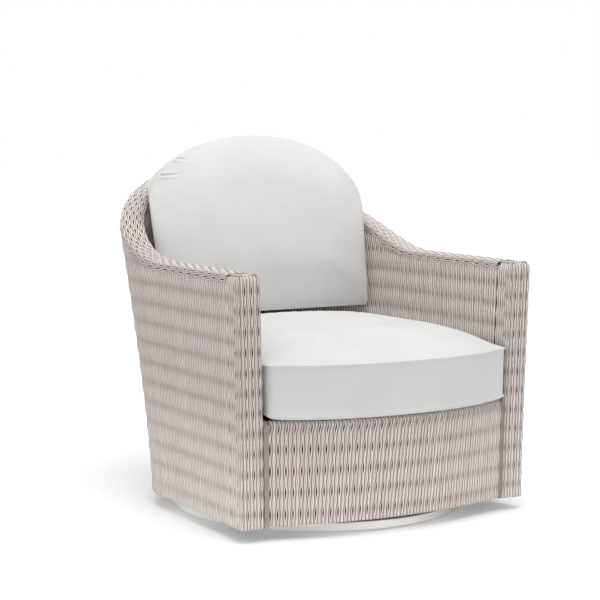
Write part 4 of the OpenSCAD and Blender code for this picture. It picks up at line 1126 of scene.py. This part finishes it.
LOW_SEAM, SWELL = 0.022, 0.003
rings, seams = [], []
for k in np.linspace(0.06, 0.97, 16):
    rings.append(seat_ring(DECK + 0.0008, 0.062, k))
for up, inset, droop in ((0.0012, 0.052, 0), (0.0022, 0.040, 0), (0.0042, 0.028, 0), (0.0072, 0.017, 0.002),
                         (0.0115, 0.009, 0.007), (0.0160, 0.0055, 0.010)):
    rings.append(seat_ring(DECK + up, inset, 1.0, droop))
for z in (LOW_SEAM, SEAT_H):
    for step, out in ((-1, 0.0), (0, RIDGE), (1, 0.0)):
        if z == SEAT_H and step == 1:
            rings.append(seat_ring(SEAM_Z + TIGHT * 0.8, 0.0046, 1.0))
        else:
            droop = 0.010 if z == LOW_SEAM else 0.0
            rings.append(seat_ring(DECK + z + step * TIGHT, 0.0028 - out, 1.0, droop))
        seams.append(len(rings) - 1)
    if z == LOW_SEAM:
        for up in np.linspace(LOW_SEAM + 0.008, SEAT_H - 0.008, 12):
            rings.append(seat_ring(DECK + up, SWELL, 1.0, 0.010 * (SEAT_H - up) / (SEAT_H - LOW_SEAM)))
for k in np.concatenate([np.linspace(0.985, 0.60, 20), np.linspace(0.57, 0.05, 18)]):
    s = max(k - 0.60, 0) / 0.40
    rings.append(seat_ring(SEAM_Z + 0.002 + (SEAT_CROWN - 0.002) * (1 - s ** 2.45), 0.0046, k))
seat, level = sewn("seat_pad", rings)
relax(seat, level > max(seams), 80)
blow_up(seat, np.isin(level, seams) | (level < 17), 0.008)
apply_modifier(seat, "SUBSURF", levels=1, render_levels=1)
pad(seat, "seat_cushion")

# %% [markdown]
# ### Back cushion
# The back cushion is a dome seen from the front and leans back. Its rear and its band are pressed into the
# shell, so they are drawn to the room that the wall leaves and held there, and points that meet are merged.
# Only the front panel is free to swell, and the wadding under it is thick, so the ripples that the cloth
# takes are relaxed out of it. At one shoulder the cover is a little too wide for the foam and lies in two
# small pleats.

# %% Back cushion
BACK_W, BACK_H, DOME_START, DOME = 0.690, 0.478, 0.234, 2.12
BACK_Y, LEAN, BOX_T, CORNER = 0.272, 0.090, 0.126, 0.030
BACK_Z = 0.4722
SIDE_ROOM, REAR_ROOM = 0.0015, 0.004


def least(a, b):
    kept = a * ((np.maximum(a, 1e-6) / b) ** 120 + 1) ** (-1 / 120)
    return kept + 0.02 * (a - kept)


def room(y, z):
    straight, deep, square = bend_at(z)
    s = np.clip((y - straight) / (deep - RAIL_W - SIDE_ROOM), 0, 0.98)
    half = half_at_back(z) - SIDE_ROOM
    return half * (1 - s ** square) ** (1 / square) + 0.120 * ease((z - BACK_HEIGHT + 0.075) / 0.075)


def room_rear(z):
    straight, deep, square = bend_at(z)
    return straight + 0.98 * (deep - RAIL_W - REAR_ROOM)


def dome_outline(inset):
    w, low_z, high_z = BACK_W / 2 - inset, inset, BACK_H - inset
    shoulder = max(DOME_START, low_z + CORNER)
    x = np.linspace(0, w - CORNER, 24)
    a = np.linspace(-math.pi / 2, 0, 8)[1:]
    corner = np.stack([w - CORNER + CORNER * np.cos(a), low_z + CORNER + CORNER * np.sin(a)], 1)
    side = np.stack([np.full(16, w), np.linspace(low_z + CORNER, shoulder, 17)[1:]], 1)
    b = np.linspace(0, math.pi / 2, 52)[1:]
    dome = np.stack([w * np.maximum(np.cos(b), 0) ** (2 / DOME),
                     shoulder + (high_z - shoulder) * np.sin(b) ** (2 / DOME)], 1)
    half = np.vstack([np.stack([x, np.full(24, low_z)], 1), corner, side, dome])
    return np.vstack([half, half[-2:0:-1] * [-1, 1]])


def dome_ring(behind, inset, k=1.0):
    flat = dome_outline(inset)
    flat = np.stack([flat[:, 0] * k, mix(BACK_H * 0.45, flat[:, 1], k)], 1)
    z = BACK_Z + flat[:, 1]
    seam_y = BACK_Y + LEAN * flat[:, 1] / BACK_H
    y = seam_y + (least(np.full(len(z), behind), room_rear(z) - seam_y) if behind > 0 else behind)
    x = np.sign(flat[:, 0]) * least(np.abs(flat[:, 0]), room(y, z))
    return np.column_stack([x, y + axis_y, z])


rings, seams = [], []
for k in np.linspace(0.06, 0.97, 18):
    rings.append(dome_ring(BOX_T, 0.080, k))
for deep, inset in ((0.1250, 0.076), (0.1215, 0.066), (0.1150, 0.053), (0.1060, 0.040), (0.0970, 0.030)):
    rings.append(dome_ring(deep, inset))
for depth, inset in ((0.088, 0.0225), (0.0, 0.0046)):
    for step, out in ((1, 0.0), (0, RIDGE), (-1, 0.0)):
        turned_in = 0.0012 if depth == 0 and step < 0 else 0
        rings.append(dome_ring(depth + step * TIGHT, inset - out + turned_in))
        seams.append(len(rings) - 1)
    if depth > 0:
        for deep in np.linspace(0.080, 0.008, 10):
            rings.append(dome_ring(deep, 0.0032 + 0.018 * ease((deep - 0.015) / 0.072)))
FRONT_ROLL, FRONT_CROWN = 0.010, 0.031


def front_out(inset):
    rise = min((inset - 0.006) / 0.180, 1)
    roll = min((inset - 0.006) / 0.022, 1)
    return -TIGHT - FRONT_ROLL * (1 - (1 - roll) ** 2.2) - FRONT_CROWN * (1 - (1 - rise) ** 2.4)


for inset in np.concatenate([[0.0075, 0.0095, 0.012, 0.0155, 0.020, 0.026], np.linspace(0.033, 0.110, 12)]):
    rings.append(dome_ring(front_out(inset), inset))
for k in np.linspace(0.965, 0.05, 22):
    rings.append(dome_ring(front_out(0.110) - 0.006 * (1 - k * k), 0.110, k))
back_pad, level = sewn("back_pad", rings)
relax(back_pad, level > max(seams) + 3, 20)
set_value(back_pad, "level", level)
on_whole(back_pad, bpy.ops.mesh.remove_doubles, threshold=0.0004)
blow_up(back_pad, get_value(back_pad, "level") <= max(seams), 0.007)
relax(back_pad, get_value(back_pad, "level") > max(seams) + 2, 30)
back_pad.data.attributes.remove(back_pad.data.attributes["level"])
apply_modifier(back_pad, "SUBSURF", levels=1, render_levels=1)

# %% Pleats
edit_where(back_pad, lambda co: -0.32 < co.x < -0.17 and 0.82 < co.z < 0.915 and co.y < 0.34)
bpy.ops.mesh.subdivide(number_cuts=3)
bpy.ops.object.mode_set(mode="OBJECT")
co = points(back_pad)
facing = np.zeros(len(back_pad.data.vertices) * 3)
back_pad.data.vertices.foreach_get("normal", facing)
facing = facing.reshape(-1, 3)
front = ease((-facing[:, 1] - 0.25) / 0.35)
sink = np.zeros(len(co))
for x0, z0, x1, z1 in ((-0.264, 0.8930, -0.203, 0.8840), (-0.296, 0.8450, -0.229, 0.8475)):
    length = math.hypot(x1 - x0, z1 - z0)
    t = ((co[:, 0] - x0) * (x1 - x0) + (co[:, 2] - z0) * (z1 - z0)) / length ** 2
    off = ((co[:, 2] - z0) * (x1 - x0) - (co[:, 0] - x0) * (z1 - z0)) / length
    near = ease((1.1 - t) / 0.9) * ease((t + 0.6) / 0.4) * front
    sink -= near * 0.0058 * np.exp(-(off / 0.0022) ** 2)
    sink += near * 0.0030 * np.exp(-((off + 0.0070) / 0.0050) ** 2)
set_points(back_pad, co + facing * sink[:, None])
print("pleats laid, deepest", round(float(sink.min()) * 1000, 1), "mm")
pad(back_pad, "back_cushion")

# %% Finish
low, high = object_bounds()
print("size", [round(b - a, 4) for a, b in zip(low, high)])
